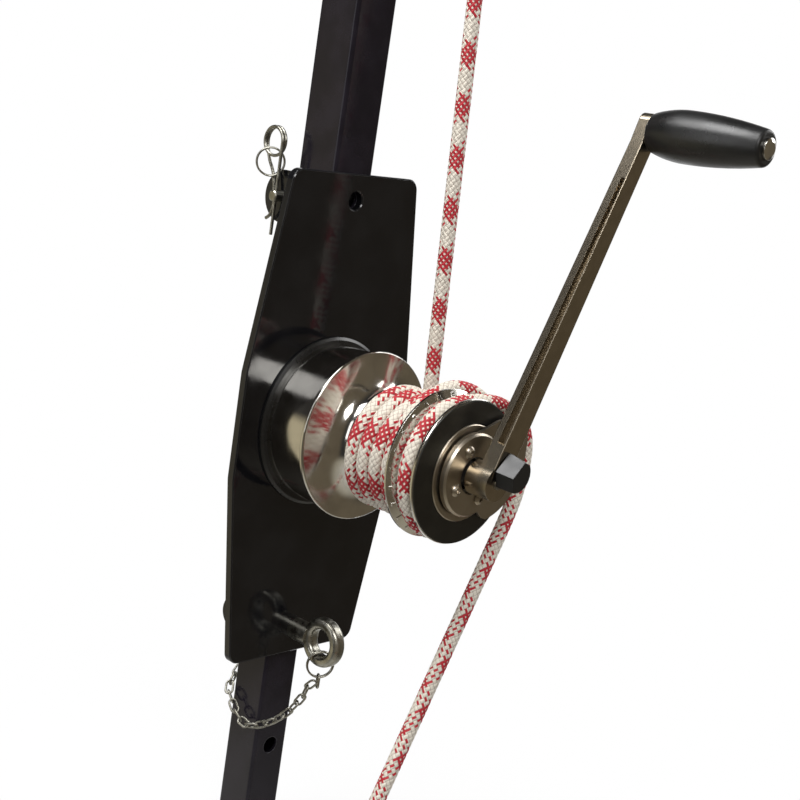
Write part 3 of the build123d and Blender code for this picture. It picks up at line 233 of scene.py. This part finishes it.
def tube_frames(points):
    """Two cross directions at each point of a line, carried along it without twist."""
    ways = np.gradient(points, axis=0)
    ways /= np.linalg.norm(ways, axis=1)[:, None]
    side = np.cross(ways[0], FIRST_ASIDE)
    sides = []
    for way in ways:
        side = side - way * side.dot(way)
        side = side / np.linalg.norm(side)
        sides.append(side)
    sides = np.array(sides)
    return sides, np.cross(ways, sides)


def braid_relief(around, along):
    """Height of the braided surface, 0 to 1, at shares of a turn around and distances along."""
    turns = BRAID_START + along / BRAID_TURN
    first = (around + BRAID_ROLL + turns) * BRAID_STRANDS
    second = (around + BRAID_ROLL - turns) * BRAID_STRANDS
    over = np.mod(np.floor(first) + np.floor(second), 2) < 1
    across = np.where(over, first, second) % 1.0
    return np.sin(math.pi * across) ** STRAND_FULLNESS


def tube_mesh(name, points, along, sides, ups, radius, relief, sides_count=ROPE_SIDES):
    """A closed braided tube on given points, with the braid's coordinates as its UV map."""
    rows = len(points)
    around = np.arange(sides_count) / sides_count
    angle = 2 * math.pi * around
    height = radius - relief + relief * braid_relief(around[None, :], along[:, None])
    out = sides[:, None, :] * np.cos(angle)[None, :, None] + ups[:, None, :] * np.sin(angle)[None, :, None]
    rings = points[:, None, :] + out * height[:, :, None]
    vertices = np.concatenate([rings.reshape(-1, 3), points[[0, -1]]])
    start_hub = rows * sides_count
    end_hub = start_hub + 1
    faces = []
    uvs = []
    for row in range(rows - 1):
        low = BRAID_START + along[row] / BRAID_TURN
        high = BRAID_START + along[row + 1] / BRAID_TURN
        here = row * sides_count
        there = here + sides_count
        for side in range(sides_count):
            nearby = (side + 1) % sides_count
            faces.append((here + side, here + nearby, there + nearby, there + side))
            left = side / sides_count + BRAID_ROLL
            right = (side + 1) / sides_count + BRAID_ROLL
            uvs += [(left, low), (right, low), (right, high), (left, high)]
    for hub, first, flip in ((start_hub, 0, True), (end_hub, (rows - 1) * sides_count, False)):
        for side in range(sides_count):
            pair = (first + side, first + (side + 1) % sides_count)
            faces.append((hub, *(reversed(pair) if flip else pair)))
            uvs += [(0.0, 0.0)] * 3
    mesh = bpy.data.meshes.new(name)
    mesh.from_pydata(vertices.tolist(), [], faces)
    layer = mesh.uv_layers.new(name="braid")
    layer.data.foreach_set("uv", np.array(uvs, np.float32).ravel())
    mesh.polygons.foreach_set("use_smooth", np.ones(len(mesh.polygons), bool))
    mesh.validate()
    mesh.update()
    return mesh


# Materials


def add_node(tree, kind, **settings):
    """A shader node with settings for its properties."""
    node = tree.nodes.new(kind)
    for key, value in settings.items():
        setattr(node, key, value)
    return node


def feed(tree, socket, value):
    """Give a socket another socket's output, or a constant."""
    if isinstance(value, bpy.types.NodeSocket):
        tree.links.new(value, socket)
    else:
        socket.default_value = value


def calc(tree, operation, first, second=0.0):
    """A sum, product or other calculation on sockets and numbers."""
    node = add_node(tree, "ShaderNodeMath", operation=operation)
    feed(tree, node.inputs[0], first)
    feed(tree, node.inputs[1], second)
    return node.outputs[0]


def blend_colour(tree, share, first, second):
    """A mix of two colours by a share. The node's colours are its inputs 6 and 7 and its output 2."""
    node = add_node(tree, "ShaderNodeMix", data_type="RGBA")
    feed(tree, node.inputs[0], share)
    feed(tree, node.inputs[6], first)
    feed(tree, node.inputs[7], second)
    return node.outputs[2]


def spread(tree, value, low, high, new_low=0.0, new_high=1.0):
    """A value moved smoothly from one range to another."""
    node = add_node(tree, "ShaderNodeMapRange", interpolation_type="SMOOTHSTEP")
    feed(tree, node.inputs[0], value)
    for socket, limit in zip(node.inputs[1:5], (low, high, new_low, new_high)):
        socket.default_value = limit
    return node.outputs[0]


def noise(tree, vector, scale, detail):
    """Smooth noise from 0 to 1."""
    node = add_node(tree, "ShaderNodeTexNoise")
    feed(tree, node.inputs["Vector"], vector)
    node.inputs["Scale"].default_value = scale
    node.inputs["Detail"].default_value = detail
    return node.outputs["Fac"]


def place_of(tree):
    """Coordinates fixed to the piece, in metres."""
    return add_node(tree, "ShaderNodeTexCoord").outputs["Object"]


def bump(tree, height, strength, distance, normal=None):
    """A surface relief."""
    node = add_node(tree, "ShaderNodeBump")
    node.inputs["Strength"].default_value = strength
    node.inputs["Distance"].default_value = distance
    feed(tree, node.inputs["Height"], height)
    if normal is not None:
        feed(tree, node.inputs["Normal"], normal)
    return node.outputs["Normal"]


def rounded(tree, radius):
    """Normals that round off sharp edges."""
    node = add_node(tree, "ShaderNodeBevel", samples=4)
    node.inputs["Radius"].default_value = radius
    return node.outputs["Normal"]


def edge_share(tree, soft_normal):
    """1 on sharp edges and 0 on flat faces."""
    geometry = add_node(tree, "ShaderNodeNewGeometry")
    dot = add_node(tree, "ShaderNodeVectorMath", operation="DOT_PRODUCT")
    feed(tree, dot.inputs[0], soft_normal)
    feed(tree, dot.inputs[1], geometry.outputs["True Normal"])
    return spread(tree, dot.outputs["Value"], low=0.99, high=0.8)


def turned_lines(tree, scale):
    """Fine rings about the winch axis, as a lathe leaves them."""
    split = add_node(tree, "ShaderNodeSeparateXYZ")
    feed(tree, split.inputs[0], place_of(tree))
    across = calc(tree, "MULTIPLY", split.outputs["X"], split.outputs["X"])
    up = calc(tree, "MULTIPLY", split.outputs["Z"], split.outputs["Z"])
    radius = calc(tree, "SQRT", calc(tree, "ADD", across, up))
    join = add_node(tree, "ShaderNodeCombineXYZ")
    feed(tree, join.inputs[0], radius)
    feed(tree, join.inputs[1], split.outputs["Y"])
    return noise(tree, join.outputs[0], scale, detail=2.0)


def surface(name, colour, roughness, normal, **constants):
    """A material from its colour, roughness and relief, and constants on the shader's own sockets."""
    material = bpy.data.materials.new(name)
    material.use_nodes = True
    tree = material.node_tree
    tree.nodes.clear()
    output = add_node(tree, "ShaderNodeOutputMaterial")
    shader = add_node(tree, "ShaderNodeBsdfPrincipled")
    tree.links.new(shader.outputs[0], output.inputs[0])
    for key, value in constants.items():
        shader.inputs[key.replace("_", " ")].default_value = value
    feed(tree, shader.inputs["Base Color"], colour(tree))
    feed(tree, shader.inputs["Roughness"], roughness(tree))
    feed(tree, shader.inputs["Normal"], normal(tree))
    return material


def gloss_paint(name, dark, light, rough, edge, shine):
    """Black enamel with faint orange peel, dust and thin worn edges."""
    worn_share = 0.35
    worn_colour = (0.16, 0.16, 0.17, 1.0)
    dust_roughness = 0.1

    def colour(tree):
        cloud = noise(tree, place_of(tree), scale=35.0, detail=4.0)
        body = blend_colour(tree, spread(tree, cloud, low=0.35, high=0.7), dark, light)
        worn = calc(tree, "MULTIPLY", edge_share(tree, rounded(tree, edge)), worn_share)
        return blend_colour(tree, worn, body, worn_colour)

    def roughness(tree):
        dust = noise(tree, place_of(tree), scale=60.0, detail=6.0)
        return spread(tree, dust, low=0.4, high=0.75, new_low=rough, new_high=rough + dust_roughness)

    def normal(tree):
        peel = noise(tree, place_of(tree), scale=420.0, detail=2.0)
        return bump(tree, peel, strength=0.05, distance=0.0004, normal=rounded(tree, edge))

    return surface(name, colour, roughness, normal, Specular_IOR_Level=shine)


def turned_steel(name, bright, deep, rough, line_scale, line_strength, edge):
    """Polished steel with fine turning lines and faint cloudy handling marks."""
    smear_roughness = 0.12

    def colour(tree):
        cloud = noise(tree, place_of(tree), scale=55.0, detail=5.0)
        return blend_colour(tree, spread(tree, cloud, low=0.35, high=0.7), bright, deep)

    def roughness(tree):
        lines = turned_lines(tree, line_scale)
        smear = noise(tree, place_of(tree), scale=90.0, detail=4.0)
        mean = calc(tree, "MULTIPLY", calc(tree, "ADD", lines, smear), 0.5)
        return spread(tree, mean, low=0.3, high=0.75, new_low=rough, new_high=rough + smear_roughness)

    def normal(tree):
        lines = turned_lines(tree, line_scale)
        return bump(tree, lines, line_strength, distance=0.0002, normal=rounded(tree, edge))

    return surface(name, colour, roughness, normal, Metallic=1.0)


def cast_steel(name, bright, deep, rough, patchy, pit_scale, pit_share, relief):
    """Cast or plated steel with mottling and small pits."""
    pit_colour = (0.12, 0.11, 0.1, 1.0)
    edge = 0.0002

    def colour(tree):
        cloud = noise(tree, place_of(tree), scale=140.0, detail=5.0)
        body = blend_colour(tree, spread(tree, cloud, low=0.35, high=0.68), bright, deep)
        pits = noise(tree, place_of(tree), pit_scale, detail=3.0)
        pitted = spread(tree, pits, low=0.62, high=0.72, new_high=pit_share)
        return blend_colour(tree, pitted, body, pit_colour)

    def roughness(tree):
        patches = noise(tree, place_of(tree), scale=260.0, detail=4.0)
        return spread(tree, patches, low=0.3, high=0.7, new_low=rough, new_high=rough + patchy)

    def normal(tree):
        pits = noise(tree, place_of(tree), pit_scale, detail=3.0)
        return bump(tree, pits, relief, distance=0.0003, normal=rounded(tree, edge))

    return surface(name, colour, roughness, normal, Metallic=1.0)


def grained_plastic(name, dark, light, rough, grain_scale, grain_strength):
    """Moulded plastic with a fine grain that is polished where it is handled."""
    wear_roughness = 0.15
    edge = 0.0006

    def colour(tree):
        grain = noise(tree, place_of(tree), grain_scale, detail=2.0)
        return blend_colour(tree, spread(tree, grain, low=0.35, high=0.7), dark, light)

    def roughness(tree):
        wear = noise(tree, place_of(tree), scale=40.0, detail=3.0)
        return spread(tree, wear, low=0.35, high=0.7, new_low=rough, new_high=rough + wear_roughness)

    def normal(tree):
        grain = noise(tree, place_of(tree), grain_scale, detail=2.0)
        return bump(tree, grain, grain_strength, distance=0.0003, normal=rounded(tree, edge))

    return surface(name, colour, roughness, normal, Specular_IOR_Level=0.5)


def braid_pattern(tree):
    """The strand that lies on top: the place across it and along it, its number, and whether red shows."""
    split = add_node(tree, "ShaderNodeSeparateXYZ")
    feed(tree, split.inputs[0], add_node(tree, "ShaderNodeUVMap", uv_map="braid").outputs[0])
    around = calc(tree, "MULTIPLY", split.outputs["X"], BRAID_STRANDS)
    along = calc(tree, "MULTIPLY", split.outputs["Y"], BRAID_STRANDS)
    first = calc(tree, "ADD", around, along)
    second = calc(tree, "SUBTRACT", around, along)
    first_strand = calc(tree, "FLOOR", first)
    second_strand = calc(tree, "FLOOR", second)
    under = calc(tree, "FLOORED_MODULO", calc(tree, "ADD", first_strand, second_strand), 2.0)
    over = calc(tree, "SUBTRACT", 1.0, under)

    def chosen(one, other):
        return calc(tree, "ADD", calc(tree, "MULTIPLY", one, over), calc(tree, "MULTIPLY", other, under))

    def marked(strand):
        number = calc(tree, "FLOORED_MODULO", strand, BRAID_STRANDS)
        return calc(tree, "LESS_THAN", number, BRAID_MARKED - 0.5)

    across_first = calc(tree, "FRACT", first)
    across_second = calc(tree, "FRACT", second)
    first_marked = marked(first_strand)
    second_marked = marked(second_strand)
    first_yarn = calc(tree, "GREATER_THAN", across_first, BRAID_RED_START)
    second_yarn = calc(tree, "GREATER_THAN", across_second, BRAID_RED_START)
    single = chosen(
        calc(tree, "MULTIPLY", first_marked, first_yarn), calc(tree, "MULTIPLY", second_marked, second_yarn)
    )
    both_marked = calc(tree, "MULTIPLY", first_marked, second_marked)
    crossed = calc(tree, "MULTIPLY", both_marked, calc(tree, "MAXIMUM", first_yarn, second_yarn))
    red = calc(tree, "MAXIMUM", single, crossed)
    across = chosen(across_first, across_second)
    lengthwise = chosen(second, first)
    strand = chosen(first_strand, calc(tree, "ADD", second_strand, 0.5))
    return across, lengthwise, strand, red


def rope_material():
    """Cream braid with red strands that cross and part, with painted shade between the strands."""
    cream_light = (0.8, 0.75, 0.65, 1.0)
    cream_dark = (0.58, 0.52, 0.43, 1.0)
    red_light = (0.53, 0.01, 0.025, 1.0)
    red_dark = (0.34, 0.005, 0.013, 1.0)
    # Painted shade: a dark colour laid over each strand towards its edges, where the strands meet
    painted_gap_shade = (0.16, 0.07, 0.06, 1.0)
    gap_shade_share = 0.6
    fibres_across = 9.0
    fibres_along = 1.2
    fibre_share = 0.5

    def colour(tree):
        across, _, _, red = braid_pattern(tree)
        shade = noise(tree, place_of(tree), scale=700.0, detail=3.0)
        cream = blend_colour(tree, shade, cream_light, cream_dark)
        crimson = blend_colour(tree, shade, red_light, red_dark)
        yarn = blend_colour(tree, red, cream, crimson)
        # Painted shade: the yarn darkens towards the edges of each strand, where shade falls between strands
        edge = calc(tree, "ABSOLUTE", calc(tree, "SUBTRACT", across, 0.5))
        return blend_colour(tree, spread(tree, edge, low=0.3, high=0.5, new_high=gap_shade_share), yarn, painted_gap_shade)

    def roughness(tree):
        wear = noise(tree, place_of(tree), scale=900.0, detail=2.0)
        return spread(tree, wear, low=0.3, high=0.7, new_low=0.55, new_high=0.75)

    def normal(tree):
        across, lengthwise, strand, _ = braid_pattern(tree)
        join = add_node(tree, "ShaderNodeCombineXYZ")
        feed(tree, join.inputs[0], calc(tree, "MULTIPLY", across, fibres_across))
        feed(tree, join.inputs[1], calc(tree, "MULTIPLY", lengthwise, fibres_along))
        feed(tree, join.inputs[2], strand)
        fibres = noise(tree, join.outputs[0], scale=1.0, detail=2.0)
        round_strand = calc(tree, "SINE", calc(tree, "MULTIPLY", across, math.pi))
        height = calc(tree, "ADD", round_strand, calc(tree, "MULTIPLY", fibres, fibre_share))
        return bump(tree, height, strength=0.6, distance=0.0004)

    return surface("rope_braid", colour, roughness, normal, Sheen_Weight=0.03, Sheen_Roughness=0.4)


def whipping_material():
    """Waxed dark red twine."""
    light = (0.3, 0.02, 0.03, 1.0)
    dark = (0.12, 0.01, 0.015, 1.0)

    def colour(tree):
        return blend_colour(tree, noise(tree, place_of(tree), scale=1500.0, detail=3.0), light, dark)

    def roughness(tree):
        wax = noise(tree, place_of(tree), scale=800.0, detail=2.0)
        return spread(tree, wax, low=0.3, high=0.7, new_low=0.4, new_high=0.6)

    def normal(tree):
        fibres = noise(tree, place_of(tree), scale=2500.0, detail=2.0)
        return bump(tree, fibres, strength=0.3, distance=0.0002)

    return surface("twine", colour, roughness, normal, Sheen_Weight=0.2)


finishes = {
    "leg_paint": gloss_paint(
        "leg_paint",
        dark=(0.008, 0.0065, 0.01, 1.0),
        light=(0.014, 0.0115, 0.017, 1.0),
        rough=0.12,
        edge=0.0012,
        shine=0.3,
    ),
    "plate_paint": gloss_paint(
        "plate_paint",
        dark=(0.004, 0.004, 0.005, 1.0),
        light=(0.007, 0.007, 0.008, 1.0),
        rough=0.07,
        edge=0.0006,
        shine=0.5,
    ),
    "zinc_steel": cast_steel(
        "zinc_steel",
        bright=(0.42, 0.41, 0.36, 1.0),
        deep=(0.27, 0.26, 0.22, 1.0),
        rough=0.25,
        patchy=0.15,
        pit_scale=1400.0,
        pit_share=0.4,
        relief=0.1,
    ),
    "satin_steel": turned_steel(
        "satin_steel",
        bright=(0.45, 0.4, 0.33, 1.0),
        deep=(0.38, 0.335, 0.27, 1.0),
        rough=0.28,
        line_scale=1900.0,
        line_strength=0.05,
        edge=0.0004,
    ),
    "polished_steel": turned_steel(
        "polished_steel",
        bright=(0.66, 0.64, 0.6, 1.0),
        deep=(0.54, 0.52, 0.49, 1.0),
        rough=0.07,
        line_scale=2600.0,
        line_strength=0.05,
        edge=0.0005,
    ),
    "dull_steel": turned_steel(
        "dull_steel",
        bright=(0.45, 0.44, 0.43, 1.0),
        deep=(0.3, 0.3, 0.29, 1.0),
        rough=0.3,
        line_scale=1800.0,
        line_strength=0.12,
        edge=0.0003,
    ),
    "gear_bronze": turned_steel(
        "gear_bronze",
        bright=(0.62, 0.42, 0.2, 1.0),
        deep=(0.45, 0.29, 0.12, 1.0),
        rough=0.28,
        line_scale=1500.0,
        line_strength=0.1,
        edge=0.0002,
    ),
    "bush_plastic": grained_plastic(
        "bush_plastic",
        dark=(0.7, 0.69, 0.65, 1.0),
        light=(0.8, 0.79, 0.75, 1.0),
        rough=0.4,
        grain_scale=900.0,
        grain_strength=0.05,
    ),
    "black_ring": turned_steel(
        "black_ring",
        bright=(0.07, 0.07, 0.068, 1.0),
        deep=(0.085, 0.085, 0.08, 1.0),
        rough=0.34,
        line_scale=2200.0,
        line_strength=0.08,
        edge=0.0004,
    ),
    "handle_steel": cast_steel(
        "handle_steel",
        bright=(0.41, 0.355, 0.275, 1.0),
        deep=(0.37, 0.32, 0.245, 1.0),
        rough=0.23,
        patchy=0.01,
        pit_scale=500.0,
        pit_share=0.03,
        relief=0.0,
    ),
    "knob_plastic": grained_plastic(
        "knob_plastic",
        dark=(0.006, 0.006, 0.006, 1.0),
        light=(0.012, 0.012, 0.012, 1.0),
        rough=0.26,
        grain_scale=1600.0,
        grain_strength=0.06,
    ),
    "grip_plastic": grained_plastic(
        "grip_plastic",
        dark=(0.005, 0.005, 0.005, 1.0),
        light=(0.013, 0.013, 0.013, 1.0),
        rough=0.27,
        grain_scale=2200.0,
        grain_strength=0.25,
    ),
    "rope": rope_material(),
}
for row in frame["record"]["subparts"]:
    node = frame["nodes"][row["node"]]
    for material_slot in node.material_slots:
        material_slot.material = finishes[row["material_slot"]]

# The rope's line: down the load line, round the drum, over the lower jaw, in the groove and out to the tail
up_the_leg = Vector((0.0, LOAD_LINE_LEAN, 1.0)).normalized()
tail_way = Vector((-math.sin(TAIL_LEAN), 0.0, -math.cos(TAIL_LEAN)))
drum_start = winch_point(WRAP_FIRST_CLOCK, WRAP_RADIUS, WRAP_FOOT)
load_top = drum_start + up_the_leg * LOAD_LINE_LENGTH
groove_end = winch_point(*LEAVING_ROUTE[-1])
tail_foot = groove_end + tail_way * TAIL_LENGTH
wraps = []
for clock in range(WRAP_FIRST_CLOCK, WRAP_LAST_CLOCK + COIL_STEP, COIL_STEP):
    height = WRAP_FOOT + WRAP_PITCH * (clock - WRAP_FIRST_CLOCK) / 360
    wraps.append(winch_point(clock, WRAP_RADIUS * COIL_LEAD, height))
crossing = [winch_point(clock, radius * CROSSING_LEAD, height) for clock, radius, height in CROSSING_ROUTE]
groove = [
    winch_point(clock, GROOVE_RADIUS * COIL_LEAD, GROOVE_HEIGHT)
    for clock in range(GROOVE_FIRST_CLOCK, GROOVE_LAST_CLOCK + COIL_STEP, COIL_STEP)
]
leaving = [winch_point(clock, radius * LEAVING_LEAD, height) for clock, radius, height in LEAVING_ROUTE]
near_drum = drum_start + up_the_leg * STRAIGHT_START
near_groove = groove_end + tail_way * STRAIGHT_START
rope_line = spline_points([load_top, near_drum, *wraps, *crossing, *groove, *leaving, near_groove, tail_foot])
rope_points, rope_along = even_line(rope_line, ROPE_STEP)
rope_sides, rope_ups = tube_frames(rope_points)


def rope_object(name, mesh):
    """A piece of rope in the scene, with the braid's finish."""
    mesh.materials.append(finishes["rope"])
    return add_object(name, mesh, FIXED)


def rope_stretch(name, first, last, node):
    """One stretch of the rope between two rows of its line, in place of its plain solid."""
    rows = slice(first, last + 1)
    points = rope_points[rows]
    radius = ROPE_DIAMETER / 2
    mesh = tube_mesh(name, points, rope_along[rows], rope_sides[rows], rope_ups[rows], radius, BRAID_RELIEF)
    piece = rope_object(name, mesh)
    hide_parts(node)
    return piece, points


def rope_tube(name, line, radius):
    """A braided tube along a smooth line of its own."""
    points, along = even_line(line, ROPE_STEP)
    sides, ups = tube_frames(points)
    return rope_object(name, tube_mesh(name, points, along, sides, ups, radius, BRAID_RELIEF))


def nearest_row(point):
    """The row of the rope's line that lies nearest a point."""
    return int(np.argmin(np.linalg.norm(rope_points - np.array(point), axis=1)))


start_row = nearest_row(drum_start + up_the_leg * ROPE_DIAMETER)
end_row = nearest_row(groove_end + tail_way * ROPE_DIAMETER)
load_line, load_path = rope_stretch("load_line_braid", 0, start_row, "rope_load_line")
winding, winding_path = rope_stretch("winding_braid", start_row, end_row, "rope_winding")
tail, tail_path = rope_stretch("tail_braid", end_row, len(rope_points) - 1, "rope_tail")

# Spliced eye: the loop, and the throat where the rope runs beside itself
eye_middle = load_top + up_the_leg * (EYE_THROAT + EYE_RADIUS)
eye_across = Vector((1.0, 0.0, 0.0))
loop_points = []
for turn in range(0, EYE_TURN, COIL_STEP):
    angle = math.radians(EYE_FIRST_ANGLE + turn)
    ring = eye_across * math.cos(angle) + up_the_leg * math.sin(angle)
    loop_points.append(eye_middle + ring * EYE_RADIUS)
throat_low = load_top - up_the_leg * THROAT_OVERLAP
throat_mid = load_top + up_the_leg * EYE_THROAT * THROAT_MIDDLE
throat_top = load_top + up_the_leg * EYE_THROAT
loop_line = spline_points([throat_mid, *loop_points, throat_mid])
eye_loop = rope_tube("load_eye_loop", loop_line, ROPE_DIAMETER / 2)
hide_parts("load_eye")
throat = rope_tube("load_eye_throat", spline_points([throat_low, throat_mid, throat_top]), THROAT_RADIUS)


def coil_line(foot, way, radius, pitch, turns):
    """Points of a coil about a line."""
    side = way.orthogonal().normalized()
    other = way.cross(side)
    steps = int(turns * 360 / COIL_STEP)
    points = []
    for step in range(steps + 1):
        angle = math.radians(step * COIL_STEP)
        ring = side * math.cos(angle) + other * math.sin(angle)
        points.append(foot + ring * radius + way * pitch * step * COIL_STEP / 360)
    return points


# Twine bound round the throat
twine_foot = load_top + up_the_leg * TWINE_START
twine_coil = coil_line(twine_foot, up_the_leg, THROAT_RADIUS, TWINE_PITCH, TWINE_TURNS)
twine_points, twine_along = even_line(spline_points(twine_coil), TWINE_STEP)
twine_sides, twine_ups = tube_frames(twine_points)
twine_mesh = tube_mesh(
    "load_eye_whipping",
    twine_points,
    twine_along,
    twine_sides,
    twine_ups,
    radius=TWINE_RADIUS,
    relief=0.0,
    sides_count=TWINE_SIDES,
)
twine_mesh.materials.append(whipping_material())
whipping = add_object("load_eye_whipping", twine_mesh, FIXED)

# Stopper knot: turns of rope round the tail's end
knot_points = coil_line(tail_foot + tail_way * KNOT_START, tail_way, KNOT_RADIUS, KNOT_PITCH, KNOT_TURNS)
knot_coil = rope_tube("tail_knot_turns", spline_points(knot_points), KNOT_ROPE_RADIUS)
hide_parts("tail_knot")
knot_end = tail_foot + tail_way * KNOT_TAIL
core_line = spline_points([tail_foot - tail_way * KNOT_OVERLAP, (tail_foot + knot_end) / 2, knot_end])
core = rope_tube("tail_knot_core", core_line, KNOT_CORE_RADIUS)

# The tether chain hangs from the screw in the leg's back to the ring in the eye bolt
chain = add_object("tether_chain_links", frame["nodes"]["tether_chain"].data.copy())
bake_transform(chain)
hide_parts("tether_chain")

# Each pawl's leaf spring lies on the stem, split off as a piece of its own
for number, way in ((1, 1.0), (2, -1.0)):
    leaf_mesh = frame["nodes"]["pawl_springs"].data.copy()
    leaf_form = bmesh.new()
    leaf_form.from_mesh(leaf_mesh)
    others = [vertex for vertex in leaf_form.verts if vertex.co.x * way < 0.0]
    bmesh.ops.delete(leaf_form, geom=others, context="VERTS")
    leaf_form.to_mesh(leaf_mesh)
    leaf_form.free()
    leaf = add_object(f"pawl_leaf_{number}", leaf_mesh)
    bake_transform(leaf)
    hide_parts("pawl_springs")


# Camera
back = CAMERA_RIGHT.cross(CAMERA_UP).normalized()
camera_data = bpy.data.cameras.new("camera")
camera_data.sensor_width = SENSOR_MM
camera_data.lens = SENSOR_MM * FOCAL_PIXELS / FRAME_PIXELS
camera = add_object("camera", camera_data)
turn = Matrix((CAMERA_RIGHT.normalized(), back.cross(CAMERA_RIGHT).normalized(), back)).transposed()
camera.matrix_world = Matrix.Translation(CAMERA_PLACE) @ turn.to_4x4()
bpy.context.scene.camera = camera

# Pale floor that fades into the white background
floor_mesh = bpy.data.meshes.new("floor")
floor_z = cad_box[0].z - FLOOR_DROP
rim = []
for side in range(FLOOR_SIDES):
    angle = 2 * math.pi * side / FLOOR_SIDES
    rim.append((FLOOR_RADIUS * math.cos(angle), FLOOR_RADIUS * math.sin(angle), floor_z))
floor_mesh.from_pydata(rim, [], [tuple(range(FLOOR_SIDES))])
floor = add_object("floor", floor_mesh)


def floor_material():
    """White ground that keeps a faint shadow and fades out towards its rim."""
    material = bpy.data.materials.new("floor")
    material.use_nodes = True
    tree = material.node_tree
    tree.nodes.clear()
    output = add_node(tree, "ShaderNodeOutputMaterial")
    lit = add_node(tree, "ShaderNodeBsdfDiffuse")
    lit.inputs[0].default_value = FLOOR_COLOUR
    white = add_node(tree, "ShaderNodeEmission")
    clear = add_node(tree, "ShaderNodeBsdfTransparent")
    seen = add_node(tree, "ShaderNodeLightPath").outputs["Is Camera Ray"]
    ground = add_node(tree, "ShaderNodeMixShader")
    feed(tree, ground.inputs[0], calc(tree, "MULTIPLY", seen, FLOOR_WHITENESS))
    tree.links.new(lit.outputs[0], ground.inputs[1])
    tree.links.new(white.outputs[0], ground.inputs[2])
    reach = add_node(tree, "ShaderNodeVectorMath", operation="LENGTH")
    feed(tree, reach.inputs[0], place_of(tree))
    fade = add_node(tree, "ShaderNodeMixShader")
    feed(tree, fade.inputs[0], spread(tree, reach.outputs["Value"], FLOOR_FADE_START, FLOOR_FADE_END))
    tree.links.new(ground.outputs[0], fade.inputs[1])
    tree.links.new(clear.outputs[0], fade.inputs[2])
    tree.links.new(fade.outputs[0], output.inputs[0])
    return material


floor.data.materials.append(floor_material())

# White background, and a dim room with a pale ground and a pale wall that polished surfaces reflect
world = bpy.data.worlds.new("studio")
bpy.context.scene.world = world
world.use_nodes = True
sky = world.node_tree
sky.nodes.clear()
sky_output = add_node(sky, "ShaderNodeOutputWorld")
background = add_node(sky, "ShaderNodeBackground")
sky.links.new(background.outputs[0], sky_output.inputs[0])
path_kind = add_node(sky, "ShaderNodeLightPath")
sky_way = add_node(sky, "ShaderNodeTexCoord").outputs["Generated"]


def towards(way, far, near):
    """1 for directions close to a given one, fading to 0. far and near are cosines."""
    dot = add_node(sky, "ShaderNodeVectorMath", operation="DOT_PRODUCT")
    feed(sky, dot.inputs[0], sky_way)
    dot.inputs[1].default_value = way
    return spread(sky, dot.outputs["Value"], far, near)


room = blend_colour(sky, towards(FRONT_WAY, far=0.1, near=0.6), ROOM_DARK, ROOM_BROWN)
room = blend_colour(sky, towards(DOWN_WAY, far=0.6, near=0.8), room, ROOM_GROUND)
room = blend_colour(sky, towards(WALL_WAY.normalized(), far=0.87, near=0.96), room, ROOM_WALL)
room = blend_colour(sky, towards(-back, far=0.72, near=0.9), room, WHITE)
glossy = path_kind.outputs["Is Glossy Ray"]
feed(sky, background.inputs["Color"], blend_colour(sky, glossy, WHITE, room))
full = calc(sky, "MAXIMUM", path_kind.outputs["Is Camera Ray"], glossy)
strength = spread(sky, full, low=0.0, high=1.0, new_low=SOFT_LIGHT)
feed(sky, background.inputs["Strength"], strength)


def softbox(name, place, aim, width, height, power):
    """A soft rectangular lamp."""
    data = bpy.data.lights.new(name, "AREA")
    data.shape = "RECTANGLE"
    data.size = width
    data.size_y = height
    data.energy = power
    lamp = add_object(name, data)
    lamp.location = place
    lamp.rotation_mode = "QUATERNION"
    lamp.rotation_quaternion = (Vector(aim) - Vector(place)).to_track_quat("-Z", "Y")


softbox("key", place=(-0.9, -1.5, 1.3), aim=(0.0, -0.1, 0.0), width=0.9, height=0.7, power=20.0)
softbox("side", place=(-1.6, 0.3, 0.5), aim=(0.0, -0.1, 0.0), width=0.6, height=1.2, power=4.5)
softbox("right", place=(1.5, -0.5, 0.9), aim=(0.0, -0.15, 0.0), width=0.8, height=0.8, power=10.0)
softbox("top", place=(-0.6, 0.2, 1.4), aim=(0.0, -0.15, 0.0), width=0.8, height=0.8, power=22.0)

bpy.context.scene.view_settings.view_transform = "Standard"
